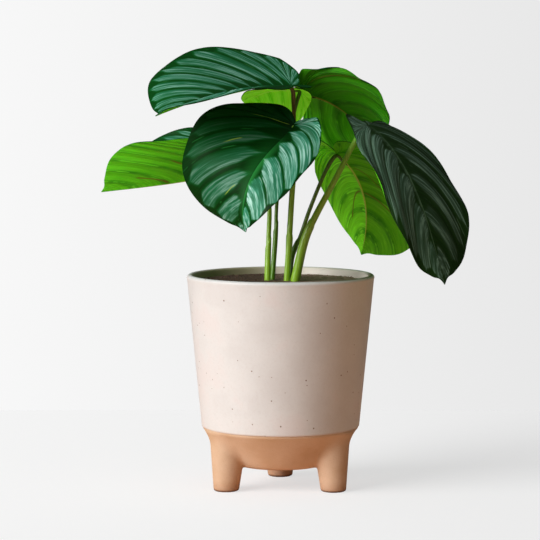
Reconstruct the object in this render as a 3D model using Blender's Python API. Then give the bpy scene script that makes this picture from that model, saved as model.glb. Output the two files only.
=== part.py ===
"""Potted calathea: seven round leaves on separate stalks, soil, and a three-legged ceramic pot.

Metres, +Z up. The origin is on the floor under the middle of the plant and pot, +X is to the
plant's right and +Y is away from its front. Lengths are written in millimetres and angles in
degrees, and MM and math.radians turn them into Blender's units where a shape is made.

Every leaf is one grown piece: a thin waved blade, its midrib and its stalk. A blade is drawn in
leaf shares, a along the midrib from the stalk (0) to the tip (1) and b across it, and is then bent
in space by a few angles given at its base, middle and tip.
"""
import bpy
import bmesh
import math
from dataclasses import dataclass

import numpy as np
from mathutils import Vector

MM = 0.001
GAP = 0.3                       # clearance between pieces that stand in each other
CUTTER_REACH = 10.0             # a cutting shape stands this far out of what it cuts
SHARP_EDGE = 35.0               # edges bent by more than this angle stay crisp

# ---------------------------------------------------------------- pot
RIM_Z = 215.0                   # top of the pot
RIM_RADIUS = 94.3               # outside, at the lip
GLAZE_Z = 62.0                  # lower edge of the glaze
GLAZE_RADIUS = 79.4             # outside, at the glaze edge
WALL = 6.5
LIP_ROUND = 3.0                 # the lip's edges are rounded to this radius
BOWL_Z = 22.5                   # underside of the bowl
# The bare bowl's outline from its flat underside up to the glaze: (radius, z).
BOWL_OUTLINE = ((40.0, 22.5), (46.0, 23.8), (51.0, 28.5), (59.0, 38.5), (69.5, 50.5), (78.4, 60.5))
BOWL_STEPS = 9
BOWL_INSET = 0.75               # the inside follows the outside, moved in and up by this share
POT_SIDES = 56

LEG_CIRCLE = 61.0               # the feet stand on this radius
LEG_LEAN = 3.0                  # and the legs' tops are this much nearer the middle
LEG_AZIMUTHS = (90.0, 207.0, 330.0)
LEG_TOP_Z = 58.0
LEG_TOP_RADIUS = 19.2
LEG_FOOT_RADIUS = 12.6
LEG_FOOT_ROUND = 2.0
LEG_SIDES = 24

# ---------------------------------------------------------------- soil
SOIL_Z = 208.0                  # where the soil meets the wall
SOIL_MOUND = 0.6                # it rises this much to the middle
SOIL_BUMP = 0.5                 # height of the crumbs' low bumps
ROOT_DEPTH = 34.0               # the stalks stand this deep in the soil
SOIL_RINGS = (0.0, 14.0, 28.0, 42.0, 56.0, 70.0)
SOIL_SIDES = 40

# ---------------------------------------------------------------- blade
BLADE_THICK = 0.8
RIB_DEPTH = 1.9                 # the midrib hangs this far below the blade at its base
RIB_HALF_WIDTH = 2.4
PLEAT = 0.45                    # height of the pleats along the side veins
PLEAT_END = 0.9                 # their height stays the same from this share of the half outwards
FAN_SHARE = 0.10                # the first side veins all start at the stalk
START_POWER = 1.25              # and the next ones crowd towards it
BEND_ALONG = 0.22               # a vein's middle is bent towards the tip: shares of its reach
BEND_ACROSS = 0.58
WAVE_POWER = 2.2                # the edge wave dies out towards the midrib
HALVES_APART = 100.0            # the two edges' waves are this many degrees apart
RIB_FADE = 0.7                  # the midrib thins towards the tip by this power
VEIN_STEPS = 22                 # side veins in each half
ACROSS = (0.0, 0.05, 0.2, 0.42, 0.64, 0.84, 1.0)

# Outline of a half blade, from the notch behind the stalk, round the lobe, to the tip:
# (share of the length, share of the half width).
OUTLINE = (
    (-0.035, 0.00), (-0.085, 0.10), (-0.10, 0.25), (-0.035, 0.50), (0.07, 0.74), (0.24, 0.96),
    (0.42, 1.00), (0.64, 0.93), (0.85, 0.64), (0.94, 0.28), (0.965, 0.10), (1.00, 0.00),
)
NOTCH_HALF_WIDTH = 0.1          # a leaf's own lobes start this far beside the notch
OUTLINE_ASPECT = 0.42           # half width to length, used only to space points evenly

STALK_SIDES = 8
STALK_STEPS = 20
HOLE_SIDES = 16
PULVINUS_LENGTH = 16.0          # the thickened joint under the blade
PULVINUS_SWELL = 1.18
JOINT_SHARE = 0.14              # the stalk runs on under the midrib for this share of its length
JOINT_TAPER = 0.35              # and ends this slender
# Its middle's depth there, at the start, middle and end: share of its radius, and millimetres.
UNDER_MIDRIB = ((1.0, 1.4), (0.9, 0.8), (0.55, 0.1))
SHEATH_THICK = 0.75             # the sheath round the lower stalk
SHEATH_SLANT = 5.0              # its open end is cut at a slant
SHEATH_LIP = 3.0                # and fades over this length


@dataclass
class Leaf:
    """One leaf. Triples give a value at the blade's base, middle and tip."""
    name: str
    colour: tuple
    base: tuple                 # where the stalk meets the blade
    length: float
    half_width: tuple           # left and right of the midrib, looking along it to the tip
    heading: tuple              # the midrib's bearing, from +X towards +Y
    rise: tuple                 # its slope above the level
    roll: tuple                 # the blade's turn about it, right edge up
    fold_left: tuple            # each half's slope above the blade's own plane at the midrib
    fold_right: tuple
    curl_left: tuple            # and how much that slope grows from midrib to edge
    curl_right: tuple
    wave: tuple                 # edge wave: height, waves along the edge, phase in degrees
    lobes: tuple                # depth of the lobes behind the stalk, left and right
    root: tuple                 # x and y of the stalk where it stands in the soil
    way: tuple                  # points that the stalk passes on its way up
    stalk: tuple                # radius at the soil and under the blade
    sheath: tuple               # height of the sheath's open end, and the side that it faces


LEAVES = (
    Leaf("leaf_top_left", (0.05, 0.24, 0.10), base=(11, 8, 404), length=168, half_width=(57, 90),
         heading=(195, 226, 193), rise=(0, -9, -23), roll=(-5, -12, -18),
         fold_left=(-6, -5, -5), fold_right=(37, 29, 17),
         curl_left=(-7, -7, -8), curl_right=(-1, -3, -29), wave=(2.0, 3.0, 40),
         lobes=(1.0, 0.7), root=(6.5, 14),
         way=((9, 16, 255), (11.5, 16, 305), (13.5, 14, 350), (13, 11, 386)),
         stalk=(2.3, 1.9), sheath=(262, 180)),
    Leaf("leaf_top_right", (0.05, 0.26, 0.06), base=(22, 68, 394), length=112, half_width=(60, 57),
         heading=(-4, 22, -5), rise=(-3, -38, -44), roll=(42, 36, 30),
         fold_left=(17, 3, 1), fold_right=(9, -8, -21),
         curl_left=(4, -1, -18), curl_right=(-14, -8, -17), wave=(2.8, 6.0, 60),
         lobes=(0.7, 0.6), root=(8, 41),
         way=((9, 43, 255), (12, 52, 305), (15.5, 62, 350), (18, 66, 380)),
         stalk=(2.3, 1.9), sheath=(258, 0)),
    Leaf("leaf_front", (0.03, 0.17, 0.08), base=(13, -37, 366), length=141, half_width=(48, 96),
         heading=(244, 225, 225), rise=(-30, -45, -117), roll=(5, 9, -4),
         fold_left=(17, 1, 15), fold_right=(28, 8, -5),
         curl_left=(5, -29, -27), curl_right=(-26, -17, -15), wave=(1.8, 3.0, 120),
         lobes=(0.6, 1.3), root=(6.4, -2),
         way=((9, -2, 250), (12.5, -6, 305), (17, -16, 345)),
         stalk=(2.7, 2.1), sheath=(259, 180)),
    Leaf("leaf_left", (0.10, 0.34, 0.08), base=(-38, 22, 321), length=151, half_width=(59, 64),
         heading=(175, 169, 160), rise=(-16, -9, -8), roll=(6, 7, 1),
         fold_left=(47, 55, 65), fold_right=(35, 44, 37),
         curl_left=(-2, 4, 15), curl_right=(-6, 5, -5), wave=(1.2, 3.0, 300),
         lobes=(1.0, 1.0), root=(-13, 0),
         way=((-12, 3, 250), (-11.5, 8, 285), (-19, 16, 309)),
         stalk=(2.5, 2.0), sheath=(248, 0)),
    Leaf("leaf_right", (0.03, 0.12, 0.06), base=(86, -30, 365), length=182, half_width=(64, 41),
         heading=(-28, -43, -36), rise=(-35, -61, -72), roll=(-5, -2, -4),
         fold_left=(7, 4, 4), fold_right=(-6, -3, -27),
         curl_left=(-24, -9, 2), curl_right=(-32, -2, 3), wave=(2.2, 3.5, 250),
         lobes=(0.1, 1.2), root=(14.7, -8),
         way=((24, -12, 250), (35, -16, 275), (54, -22, 311), (74, -28, 350)),
         stalk=(4.0, 2.0), sheath=(268, 150)),
    Leaf("leaf_middle_right", (0.12, 0.42, 0.06), base=(57, 12, 336), length=153,
         half_width=(58, 68), heading=(38, 77, 106), rise=(-34, -48, -52), roll=(-2, -8, -18),
         fold_left=(20, 21, 44), fold_right=(16, -3, -13),
         curl_left=(-19, -6, 14), curl_right=(-1, -13, -18), wave=(1.8, 3.0, 10),
         lobes=(1.0, 1.0), root=(9, 27),
         way=((12, 26, 232), (20.5, 23, 252), (30, 19, 280), (45, 14, 317)),
         stalk=(2.2, 1.8), sheath=(244, 200)),
    Leaf("leaf_back", (0.16, 0.50, 0.06), base=(20, 28, 400), length=70, half_width=(26, 46),
         heading=(158, 146, 142), rise=(0, -10, -50), roll=(-30, -34, -32),
         fold_left=(-24, -26, -22), fold_right=(-14, -20, -20),
         curl_left=(-4, -10, -10), curl_right=(-8, -14, -11), wave=(1.2, 2.5, 90),
         lobes=(0.8, 1.3), root=(-8, 12),
         way=((-5, 15, 250), (-3, 17, 292), (6, 20, 340), (15.5, 23.5, 384)),
         stalk=(1.9, 1.7), sheath=(264, 0)),
)


# ---------------------------------------------------------------- curves

def smooth_curve(points, where):
    """Points of a Catmull-Rom curve through the given ones; where counts from 0 to len - 1."""
    points = np.asarray(points, float)
    where = np.clip(np.asarray(where, float), 0, len(points) - 1 - 1e-9)
    start = where.astype(int)
    t = (where - start)[..., None]
    ends = np.vstack([2 * points[0] - points[1], points, 2 * points[-1] - points[-2]])
    a, b, c, d = (ends[start + k] for k in range(4))
    return 0.5 * (2 * b + (c - a) * t + (2 * a - 5 * b + 4 * c - d) * t**2
                  + (3 * b - a - 3 * c + d) * t**3)


def even_curve(points, shares, stretch):
    """Points at even shares of a smooth curve's length, measured with its axes stretched."""
    fine = smooth_curve(points, np.linspace(0, len(points) - 1, 600))
    steps = np.linalg.norm(np.diff(fine * stretch, axis=0), axis=1)
    along = np.concatenate([[0.0], np.cumsum(steps)])
    along /= along[-1]
    return np.stack([np.interp(shares, along, fine[:, k]) for k in range(fine.shape[1])], -1)


def spread(triple, a):
    """The parabola through a leaf's values at base, middle and tip."""
    a = np.clip(a, 0, 1)
    at_base, at_middle, at_tip = triple
    return (at_base * (1 - a) * (1 - 2 * a) + 4 * at_middle * a * (1 - a)
            + at_tip * a * (2 * a - 1))


# ---------------------------------------------------------------- blade

def midrib_frame(leaf, a):
    """The midrib's points and its right and up directions at shares a of its length."""
    shares = np.linspace(-0.2, 1.05, 251)
    heading = np.radians(spread(leaf.heading, shares))
    rise = np.radians(spread(leaf.rise, shares))
    roll = np.radians(spread(leaf.roll, shares))[:, None]
    along = np.stack([np.cos(rise) * np.cos(heading), np.cos(rise) * np.sin(heading),
                      np.sin(rise)], -1)
    level = np.stack([np.sin(heading), -np.cos(heading), 0 * heading], -1)
    over = np.cross(level, along)
    right = np.cos(roll) * level + np.sin(roll) * over
    up = -np.sin(roll) * level + np.cos(roll) * over
    step = (shares[1] - shares[0]) * leaf.length
    line = np.concatenate([[np.zeros(3)], np.cumsum((along[1:] + along[:-1]) / 2 * step, axis=0)])
    line += np.array(leaf.base) - line[np.argmin(abs(shares))]
    return [np.stack([np.interp(a, shares, row[:, k]) for k in range(3)], -1)
            for row in (line, along, right, up)]


def half_blade(leaf, side, veins, across):
    """Points of one half of the blade's middle surface; side is 1 on the right, -1 on the left."""
    vein, v = np.meshgrid(veins, across, indexing="ij")
    edge = even_curve(OUTLINE, veins, (1.0, OUTLINE_ASPECT))[:, None, :] + 0 * v[..., None]
    lobe = leaf.lobes[0 if side < 0 else 1]
    deepen = 1 + (lobe - 1) * np.clip(edge[..., 1] / NOTCH_HALF_WIDTH, 0, 1)
    edge[..., 0] *= np.where(edge[..., 0] < 0, deepen, 1)
    start = np.clip((vein - FAN_SHARE) / (1 - FAN_SHARE), 0, 1) ** START_POWER
    bend_a = start + BEND_ALONG * (edge[..., 0] - start)
    a = (1 - v)**2 * start + 2 * v * (1 - v) * bend_a + v**2 * edge[..., 0]
    b = 2 * v * (1 - v) * BEND_ACROSS * edge[..., 1] + v**2 * edge[..., 1]

    width = leaf.half_width[0 if side < 0 else 1]
    fold = np.radians(spread(leaf.fold_left if side < 0 else leaf.fold_right, a))
    curl = np.radians(spread(leaf.curl_left if side < 0 else leaf.curl_right, a))
    curl = np.where(abs(curl) < 1e-6, 1e-6, curl)
    out = (np.sin(fold + curl * b) - np.sin(fold)) / curl * width
    lift = -(np.cos(fold + curl * b) - np.cos(fold)) / curl * width

    height, waves, phase = leaf.wave
    turn = 2 * math.pi * waves * vein + math.radians(phase + (0 if side > 0 else HALVES_APART))
    taper = np.sin(math.pi * vein)
    lift = lift + height * v**WAVE_POWER * np.sin(turn) * np.sqrt(taper)
    ridge = np.cos(math.pi * np.arange(len(veins)))[:, None]
    lift = lift + PLEAT * ridge * np.sin(math.pi * np.minimum(v, PLEAT_END)) * taper

    line, _, right, up = midrib_frame(leaf, a)
    return line + side * out[..., None] * right + lift[..., None] * up


def blade_object(leaf):
    """The closed blade: two faces split into the same triangles, a rim, and the midrib below."""
    veins = np.linspace(0, 1, VEIN_STEPS + 1)
    sheet = bmesh.new()
    for side in (1, -1):
        points = half_blade(leaf, side, veins, ACROSS) * MM
        rows = [[sheet.verts.new(p) for p in row] for row in points]
        for i in range(VEIN_STEPS):
            for j in range(len(ACROSS) - 1):
                near, far = rows[i], rows[i + 1]
                for tri in ((near[j], near[j + 1], far[j + 1]), (near[j], far[j + 1], far[j])):
                    sheet.faces.new(tri if side > 0 else tri[::-1])
    bmesh.ops.remove_doubles(sheet, verts=sheet.verts, dist=1e-6)
    bmesh.ops.dissolve_degenerate(sheet, edges=sheet.edges, dist=1e-7)
    sheet.normal_update()
    sheet.verts.index_update()

    shares = np.linspace(0, 1, 60)
    line, _, _, up = midrib_frame(leaf, shares)
    mesh = bmesh.new()
    upper, lower = [], []
    for vert in sheet.verts:
        away = np.linalg.norm(line - np.array(vert.co) / MM, axis=1)
        nearest = away.argmin()
        thinning = (1 - shares[nearest])**RIB_FADE
        rib = RIB_DEPTH * thinning * math.exp(-(away[nearest] / RIB_HALF_WIDTH)**2)
        half = vert.normal * BLADE_THICK / 2 * MM
        upper.append(mesh.verts.new(vert.co + half))
        lower.append(mesh.verts.new(vert.co - half - Vector(up[nearest]) * rib * MM))
    for face in sheet.faces:
        index = [v.index for v in face.verts]
        mesh.faces.new([upper[i] for i in index])
        mesh.faces.new([lower[i] for i in reversed(index)])
    for edge in sheet.edges:
        if edge.is_boundary:
            loop = edge.link_loops[0]
            first, second = loop.vert.index, loop.link_loop_next.vert.index
            mesh.faces.new((upper[second], upper[first], lower[first]))
            mesh.faces.new((upper[second], lower[first], lower[second]))
    sheet.free()
    return mesh_object(leaf.name + "_blade", mesh)


# ---------------------------------------------------------------- stalk

def stalk_path(leaf):
    """The stalk's middle line: straight in the soil, up by its way points, and into the midrib."""
    line, _, _, up = midrib_frame(leaf, np.array([0.0, 0.5, 1.0]) * JOINT_SHARE)
    under = np.array([share * leaf.stalk[1] + extra for share, extra in UNDER_MIDRIB])[:, None]
    x, y = leaf.root
    points = [(x, y, SOIL_Z + 2.0), *leaf.way, *(line - up * under)]
    route = even_curve(points, np.linspace(0, 1, STALK_STEPS), (1.0, 1.0, 1.0))
    foot = np.array([(x, y, SOIL_Z - ROOT_DEPTH)])
    return np.vstack([foot, route])


def stalk_object(leaf):
    """A tube of rings along the path, thicker in its sheath and at the joint under the blade."""
    path = stalk_path(leaf)
    steps = np.linalg.norm(np.diff(path[::-1], axis=0), axis=1)
    length_left = np.append(np.cumsum(steps)[::-1], 0.0)
    total = length_left[1]
    joint_start = leaf.length * JOINT_SHARE
    end_height, facing = leaf.sheath
    mesh = bmesh.new()
    rings = []
    across = Vector((1, 0, 0))
    for i, point in enumerate(path):
        ahead = Vector(path[min(i + 1, len(path) - 1)] - path[max(i - 1, 0)]).normalized()
        if i <= 1:
            ahead = Vector((0, 0, 1))
        across = (across - ahead * across.dot(ahead)).normalized()
        other = ahead.cross(across)
        share = min(1.0, length_left[i] / total)
        radius = leaf.stalk[1] + (leaf.stalk[0] - leaf.stalk[1]) * share
        swell = (length_left[i] - joint_start - PULVINUS_LENGTH / 2) / (PULVINUS_LENGTH / 2)
        radius *= 1 + (PULVINUS_SWELL - 1) * math.exp(-swell**2)
        if length_left[i] < joint_start:
            radius *= JOINT_TAPER + (1 - JOINT_TAPER) * length_left[i] / joint_start
        ring = []
        for k in range(STALK_SIDES):
            angle = 2 * math.pi * k / STALK_SIDES
            slant = SHEATH_SLANT * math.cos(angle - math.radians(facing))
            cover = (end_height + slant - point[2]) / SHEATH_LIP
            r = radius + SHEATH_THICK * min(1.0, max(0.0, cover))
            ring.append(mesh.verts.new((Vector(point) + (across * math.cos(angle)
                                                         + other * math.sin(angle)) * r) * MM))
        rings.append(ring)
    for low, high in zip(rings, rings[1:]):
        for k in range(STALK_SIDES):
            n = (k + 1) % STALK_SIDES
            mesh.faces.new((low[k], low[n], high[n], high[k]))
    mesh.faces.new(rings[0][::-1])
    mesh.faces.new(rings[-1])
    return mesh_object(leaf.name + "_stalk", mesh)


def hole_radius(leaf):
    """The soil's hole is a plain round one, a gap wider than the sheathed stalk."""
    return (leaf.stalk[0] + SHEATH_THICK + GAP) / math.cos(math.pi / HOLE_SIDES)


# ---------------------------------------------------------------- objects

def mesh_object(name, mesh):
    data = bpy.data.meshes.new(name)
    mesh.to_mesh(data)
    mesh.free()
    item = bpy.data.objects.new(name, data)
    bpy.context.scene.collection.objects.link(item)
    return item


def turned_object(name, profile, sides):
    """A solid turned round Z from (radius, z) points that run from the bottom to the top axis."""
    mesh = bmesh.new()
    verts = [mesh.verts.new((r * MM, 0, z * MM)) for r, z in profile]
    edges = [mesh.edges.new(pair) for pair in zip(verts, verts[1:])]
    bmesh.ops.spin(mesh, geom=verts + edges, cent=(0, 0, 0), axis=(0, 0, 1),
                   angle=2 * math.pi, steps=sides, use_merge=True)
    bmesh.ops.remove_doubles(mesh, verts=mesh.verts, dist=1e-6)
    bmesh.ops.recalc_face_normals(mesh, faces=mesh.faces)
    return mesh_object(name, mesh)


def combine(target, others, operation):
    """One Boolean of a collection of objects on the target, applied, with them then removed."""
    group = bpy.data.collections.new(target.name + "_tools")
    for item in others:
        group.objects.link(item)
    modifier = target.modifiers.new(operation, "BOOLEAN")
    modifier.operation = operation
    modifier.solver = "EXACT"
    modifier.operand_type = "COLLECTION"
    modifier.collection = group
    evaluated = target.evaluated_get(bpy.context.evaluated_depsgraph_get())
    result = bpy.data.meshes.new_from_object(evaluated)
    clean = bmesh.new()
    clean.from_mesh(result)
    bmesh.ops.remove_doubles(clean, verts=clean.verts, dist=2e-6)
    bmesh.ops.dissolve_degenerate(clean, edges=clean.edges, dist=2e-6)
    clean.to_mesh(result)
    clean.free()
    target.modifiers.clear()
    target.data = result
    for item in others:
        bpy.data.objects.remove(item)
    bpy.data.collections.remove(group)


def finish(item, name, colour, roughness):
    item.name = name
    item.data.name = name
    material = bpy.data.materials.new(name)
    material.use_nodes = True
    shader = material.node_tree.nodes["Principled BSDF"]
    shader.inputs["Base Color"].default_value = (*colour, 1.0)
    shader.inputs["Roughness"].default_value = roughness
    item.data.materials.clear()
    item.data.materials.append(material)
    item.data.shade_smooth()
    item.data.set_sharp_from_angle(angle=math.radians(SHARP_EDGE))


# ---------------------------------------------------------------- pot and soil

def arc(centre, radius, start, end, steps):
    """(radius, z) points round a centre, from one angle to another."""
    angles = np.radians(np.linspace(start, end, steps + 1))
    return [(centre[0] + radius * math.cos(a), centre[1] + radius * math.sin(a)) for a in angles]


def wall_radius(z):
    """The glazed wall's outside radius at a height."""
    share = (z - GLAZE_Z) / (RIM_Z - GLAZE_Z)
    return GLAZE_RADIUS + (RIM_RADIUS - GLAZE_RADIUS) * share


def bowl_curve(inset):
    """The bare bowl below the glaze, moved in by a wall's thickness for the inside."""
    rise = BOWL_INSET * inset
    moved = [(r - rise, z + rise) for r, z in BOWL_OUTLINE]
    moved[0] = (BOWL_OUTLINE[0][0] - rise, BOWL_Z + inset)
    curve = even_curve(moved, np.linspace(0, 1, BOWL_STEPS), (1.0, 1.0))
    return [(r, max(z, BOWL_Z + inset)) for r, z in curve]


def pot_object():
    lip = [(RIM_RADIUS - LIP_ROUND, RIM_Z - LIP_ROUND),
           (RIM_RADIUS - WALL + LIP_ROUND, RIM_Z - LIP_ROUND)]
    outside = [(0, BOWL_Z), *bowl_curve(0), (GLAZE_RADIUS, GLAZE_Z),
               *arc(lip[0], LIP_ROUND, 0, 90, 4), (0, RIM_Z)]
    pot = turned_object("pot", outside, POT_SIDES)
    legs = []
    for azimuth in map(math.radians, LEG_AZIMUTHS):
        toe = (LEG_FOOT_RADIUS - LEG_FOOT_ROUND, LEG_FOOT_ROUND)
        leg = turned_object("leg", [(0, 0), *arc(toe, LEG_FOOT_ROUND, -90, 0, 3),
                                    (LEG_TOP_RADIUS, LEG_TOP_Z), (0, LEG_TOP_Z)], LEG_SIDES)
        outward = Vector((math.cos(azimuth), math.sin(azimuth), 0))
        for vert in leg.data.vertices:
            lean = LEG_LEAN * vert.co.z / (LEG_TOP_Z * MM)
            vert.co += outward * (LEG_CIRCLE - lean) * MM
        legs.append(leg)
    combine(pot, legs, "UNION")
    mouth = RIM_RADIUS - WALL
    inside = [(0, BOWL_Z + WALL), *bowl_curve(WALL),
              (wall_radius(RIM_Z - LIP_ROUND) - WALL, RIM_Z - LIP_ROUND),
              *arc((mouth + LIP_ROUND, RIM_Z - LIP_ROUND), LIP_ROUND, 180, 90, 3)[1:],
              (mouth + LIP_ROUND, RIM_Z + CUTTER_REACH), (0, RIM_Z + CUTTER_REACH)]
    combine(pot, [turned_object("hollow", inside, POT_SIDES)], "DIFFERENCE")
    return pot


def soil_object():
    """The soil fills the pot a gap inside its wall, with a low crumbly top and the stalks' holes."""
    draw = np.random.default_rng(7)
    inset = WALL + GAP
    top_radius = wall_radius(SOIL_Z) - inset
    below = [(0, BOWL_Z + inset), *bowl_curve(inset)]
    soil = turned_object("soil", [*below, (top_radius, SOIL_Z),
                                  *[(r, SOIL_Z + SOIL_MOUND * (1 - (r / top_radius)**2))
                                    for r in reversed(SOIL_RINGS)]], SOIL_SIDES)
    for vert in soil.data.vertices:
        if vert.co.z / MM > SOIL_Z - 1 and math.hypot(vert.co.x, vert.co.y) / MM < top_radius - 1:
            vert.co.z += draw.uniform(-1, 1) * SOIL_BUMP * MM
    holes = []
    for leaf in LEAVES:
        radius = hole_radius(leaf)
        low, high = SOIL_Z - ROOT_DEPTH - GAP, SOIL_Z + CUTTER_REACH
        hole = turned_object("hole", [(0, low), (radius, low), (radius, high), (0, high)],
                             HOLE_SIDES)
        for vert in hole.data.vertices:
            vert.co += Vector((leaf.root[0], leaf.root[1], 0)) * MM
        holes.append(hole)
    combine(soil, holes, "DIFFERENCE")
    return soil


def main():
    for item in list(bpy.data.objects):
        bpy.data.objects.remove(item)
    finish(pot_object(), "pot", (0.78, 0.62, 0.52), 0.45)
    finish(soil_object(), "soil", (0.07, 0.045, 0.03), 0.95)
    for leaf in LEAVES:
        blade = blade_object(leaf)
        combine(blade, [stalk_object(leaf)], "UNION")
        finish(blade, leaf.name, leaf.colour, 0.4)


main()
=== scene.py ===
"""Dressed model of the potted calathea: seven leaves on their stalks, soil and a footed pot.

Lengths are written in millimetres and angles in degrees; MM turns millimetres into metres where a
mesh is made. The leaf and pot sizes are the same named values as the solids'.
"""

import math
from dataclasses import dataclass

import bmesh
import bpy
import numpy as np
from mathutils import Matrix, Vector, noise


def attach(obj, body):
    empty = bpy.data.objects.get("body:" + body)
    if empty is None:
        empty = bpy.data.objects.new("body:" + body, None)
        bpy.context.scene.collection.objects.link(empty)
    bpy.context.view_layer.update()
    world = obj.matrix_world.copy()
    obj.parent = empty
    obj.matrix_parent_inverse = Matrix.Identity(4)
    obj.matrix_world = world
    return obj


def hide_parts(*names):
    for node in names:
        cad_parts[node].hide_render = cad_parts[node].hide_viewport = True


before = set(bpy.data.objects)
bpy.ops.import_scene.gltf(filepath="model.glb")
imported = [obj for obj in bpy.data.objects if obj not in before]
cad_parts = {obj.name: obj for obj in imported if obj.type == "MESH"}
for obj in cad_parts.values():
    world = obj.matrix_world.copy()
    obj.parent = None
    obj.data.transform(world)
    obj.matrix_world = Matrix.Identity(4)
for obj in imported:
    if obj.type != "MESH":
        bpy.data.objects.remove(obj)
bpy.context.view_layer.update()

MM = 0.001
GAP = 0.3                       # clearance between pieces that stand in each other

# ---------------------------------------------------------------- sizes of the pot
RIM_Z = 215.0                   # top of the pot
RIM_RADIUS = 94.3               # outside, at the lip
GLAZE_Z = 62.0                  # lower edge of the glaze
GLAZE_RADIUS = 79.4             # outside, at the glaze edge
WALL = 6.5
LIP_ROUND = 3.0
BOWL_Z = 22.5                   # underside of the bowl
BOWL_OUTLINE = ((40.0, 22.5), (46.0, 23.8), (51.0, 28.5), (59.0, 38.5), (69.5, 50.5), (78.4, 60.5))
BOWL_STEPS = 14
BOWL_INSET = 0.75               # the inside follows the outside, moved in and up by this share
NECK_RADIUS = 78.1              # the bare clay runs up inside the glazed wall's lower edge
NECK_TOP = 66.0
NECK_GAP = 0.1                  # the glazed ring stands this far off it
NECK_COVER = 0.2                # and closes this far above it
GLAZE_ROLL = 0.8                # the glaze's lower edge is rolled to this radius
GLAZE_TUCK = 0.5                # and turns up to this height behind
ROLL_START = -110.0             # from this angle
GLAZE_WANDER = 0.22             # it wanders up and down by this much
WANDERS = ((1.0, 3, 1.0), (0.6, 7, 2.0), (0.4, 13, 0.0))    # share, waves all round and phase
WANDER_HEIGHT = 2.5             # within this height above it
WALL_ENDS = (3.0, 2.0)          # its rings start and end this far from the edge and the lip
WALL_STEPS = 40
INNER_EVERY = 4                 # the inner wall has only every fourth of them
ROLL_STEPS = 6
LIP_STEPS = 8
POT_SIDES = 160

LEG_CIRCLE = 61.0               # the feet stand on this radius
LEG_LEAN = 3.0                  # and the legs' tops are this much nearer the middle
LEG_AZIMUTHS = (90.0, 207.0, 330.0)
LEG_TOP_Z = 58.0
LEG_TOP_RADIUS = 19.2
LEG_FOOT_RADIUS = 12.6
LEG_FOOT_ROUND = 2.0
LEG_FILLET_LOW = 3.0            # how softly a leg flows into the bowl at the underside
LEG_FILLET_HIGH = 10.0          # and at its top
CLAY_STEP = 1.7                 # mesh size of the bare base
CLAY_MARGIN = 6.0               # and how far its grid reaches past the legs
SETTLE_ROUNDS = 6               # its points are moved onto its surface this often
SLOPE_REACH = 0.05              # and the way there is measured over this length
LEAST_SLOPE = 0.25              # squared; a flatter place is taken as this, so that no point flies

# ---------------------------------------------------------------- sizes of the soil
SOIL_Z = 208.0                  # where the soil meets the wall
SOIL_MOUND = 0.6                # it rises this much to the middle
SOIL_BUMP = 0.4                 # its loose surface goes up and down by about this much
SOIL_LUMP = 17.0                # over this length
SOIL_ROUGH = (0.7, 2.0, 4)      # the fractal's roughness, gap between octaves, and octaves
SOIL_SETTLED = 0.8              # it has settled this much at the wall
SETTLE_WIDTH = 4.0              # and less and less up to this far from it
SOIL_WALL_Z = 70.0              # above this it stands against the glazed wall
SOIL_WALL_STEPS = 12
SOIL_RING_STEPS = 44
SOIL_SIDES = 150
ROOT_DEPTH = 34.0               # the stalks stand this deep in the soil
ROOT_STRAIGHT = 2.0             # and go upright to this far above it

# ---------------------------------------------------------------- sizes of blades and stalks
BLADE_THICK = 0.8
RIB_DEPTH = 1.9                 # the midrib hangs this far below the blade at its base
RIB_HALF_WIDTH = 1.8
GROOVE_DEPTH = 0.5              # and shows as a shallow groove above
GROOVE_HALF_WIDTH = 1.3
RIB_FADE = 0.7                  # the midrib thins towards the tip by this power
RIB_STEPS = 200
MIDRIB_REACH = (-0.2, 1.05)     # its line is worked out from behind the stalk, for the lobes
MIDRIB_STEPS = 251
VEIN_STEPS = 150
ACROSS_STEPS = 40
ACROSS_POWER = 0.9              # they are a little closer together at the edge
MERGE = 1e-6                    # metres: points nearer than this become one
STRAIGHT = 1e-6                 # a smaller curl is taken as this, so that it can be divided by
WAVE_POWER = 2.2                # the edge wave dies out towards the midrib
HALVES_APART = 100.0            # the two edges' waves are this many degrees apart
SWELL_LEVEL = 0.7               # this share of its pleat is level: it swells and sinks round that
SWELL_POWER = 0.8               # the swell is strongest a little nearer the midrib than the edge
SWELL_END = 0.92                # and stays the same from this share of the half outwards
SWELL_FADE = 3.0                # it fades in this fast from the stalk and the tip

OUTLINE = (
    (-0.035, 0.00), (-0.085, 0.10), (-0.10, 0.25), (-0.035, 0.50), (0.07, 0.74), (0.24, 0.96),
    (0.42, 1.00), (0.64, 0.93), (0.85, 0.64), (0.94, 0.28), (0.965, 0.10), (1.00, 0.00),
)
NOTCH_HALF_WIDTH = 0.1          # a leaf's own lobes start this far beside the notch
OUTLINE_ASPECT = 0.42           # half width to length, used only to space points evenly

STALK_SIDES = 28
STALK_STEPS = 90
PULVINUS_LENGTH = 16.0          # the thickened joint under the blade
PULVINUS_SWELL = 1.18
JOINT_SHARE = 0.14              # the stalk runs on under the midrib for this share of its length
JOINT_TAPER = 0.35              # and ends this slender
# Its middle's depth there, at the start, middle and end: share of its radius, and millimetres.
UNDER_MIDRIB = ((1.0, 1.4), (0.9, 0.8), (0.55, 0.1))
SHEATH_THICK = 0.75             # the sheath round the lower stalk
SHEATH_SLANT = 5.0              # its open end is cut at a slant
SHEATH_LIP = 1.2                # and fades over this length
SHEATH_SEAM = 0.35              # its seam, on the side it faces, is this share as thick
SEAM_EDGE = (0.90, 0.99)        # and begins where the stalk faces that way this squarely

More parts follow.
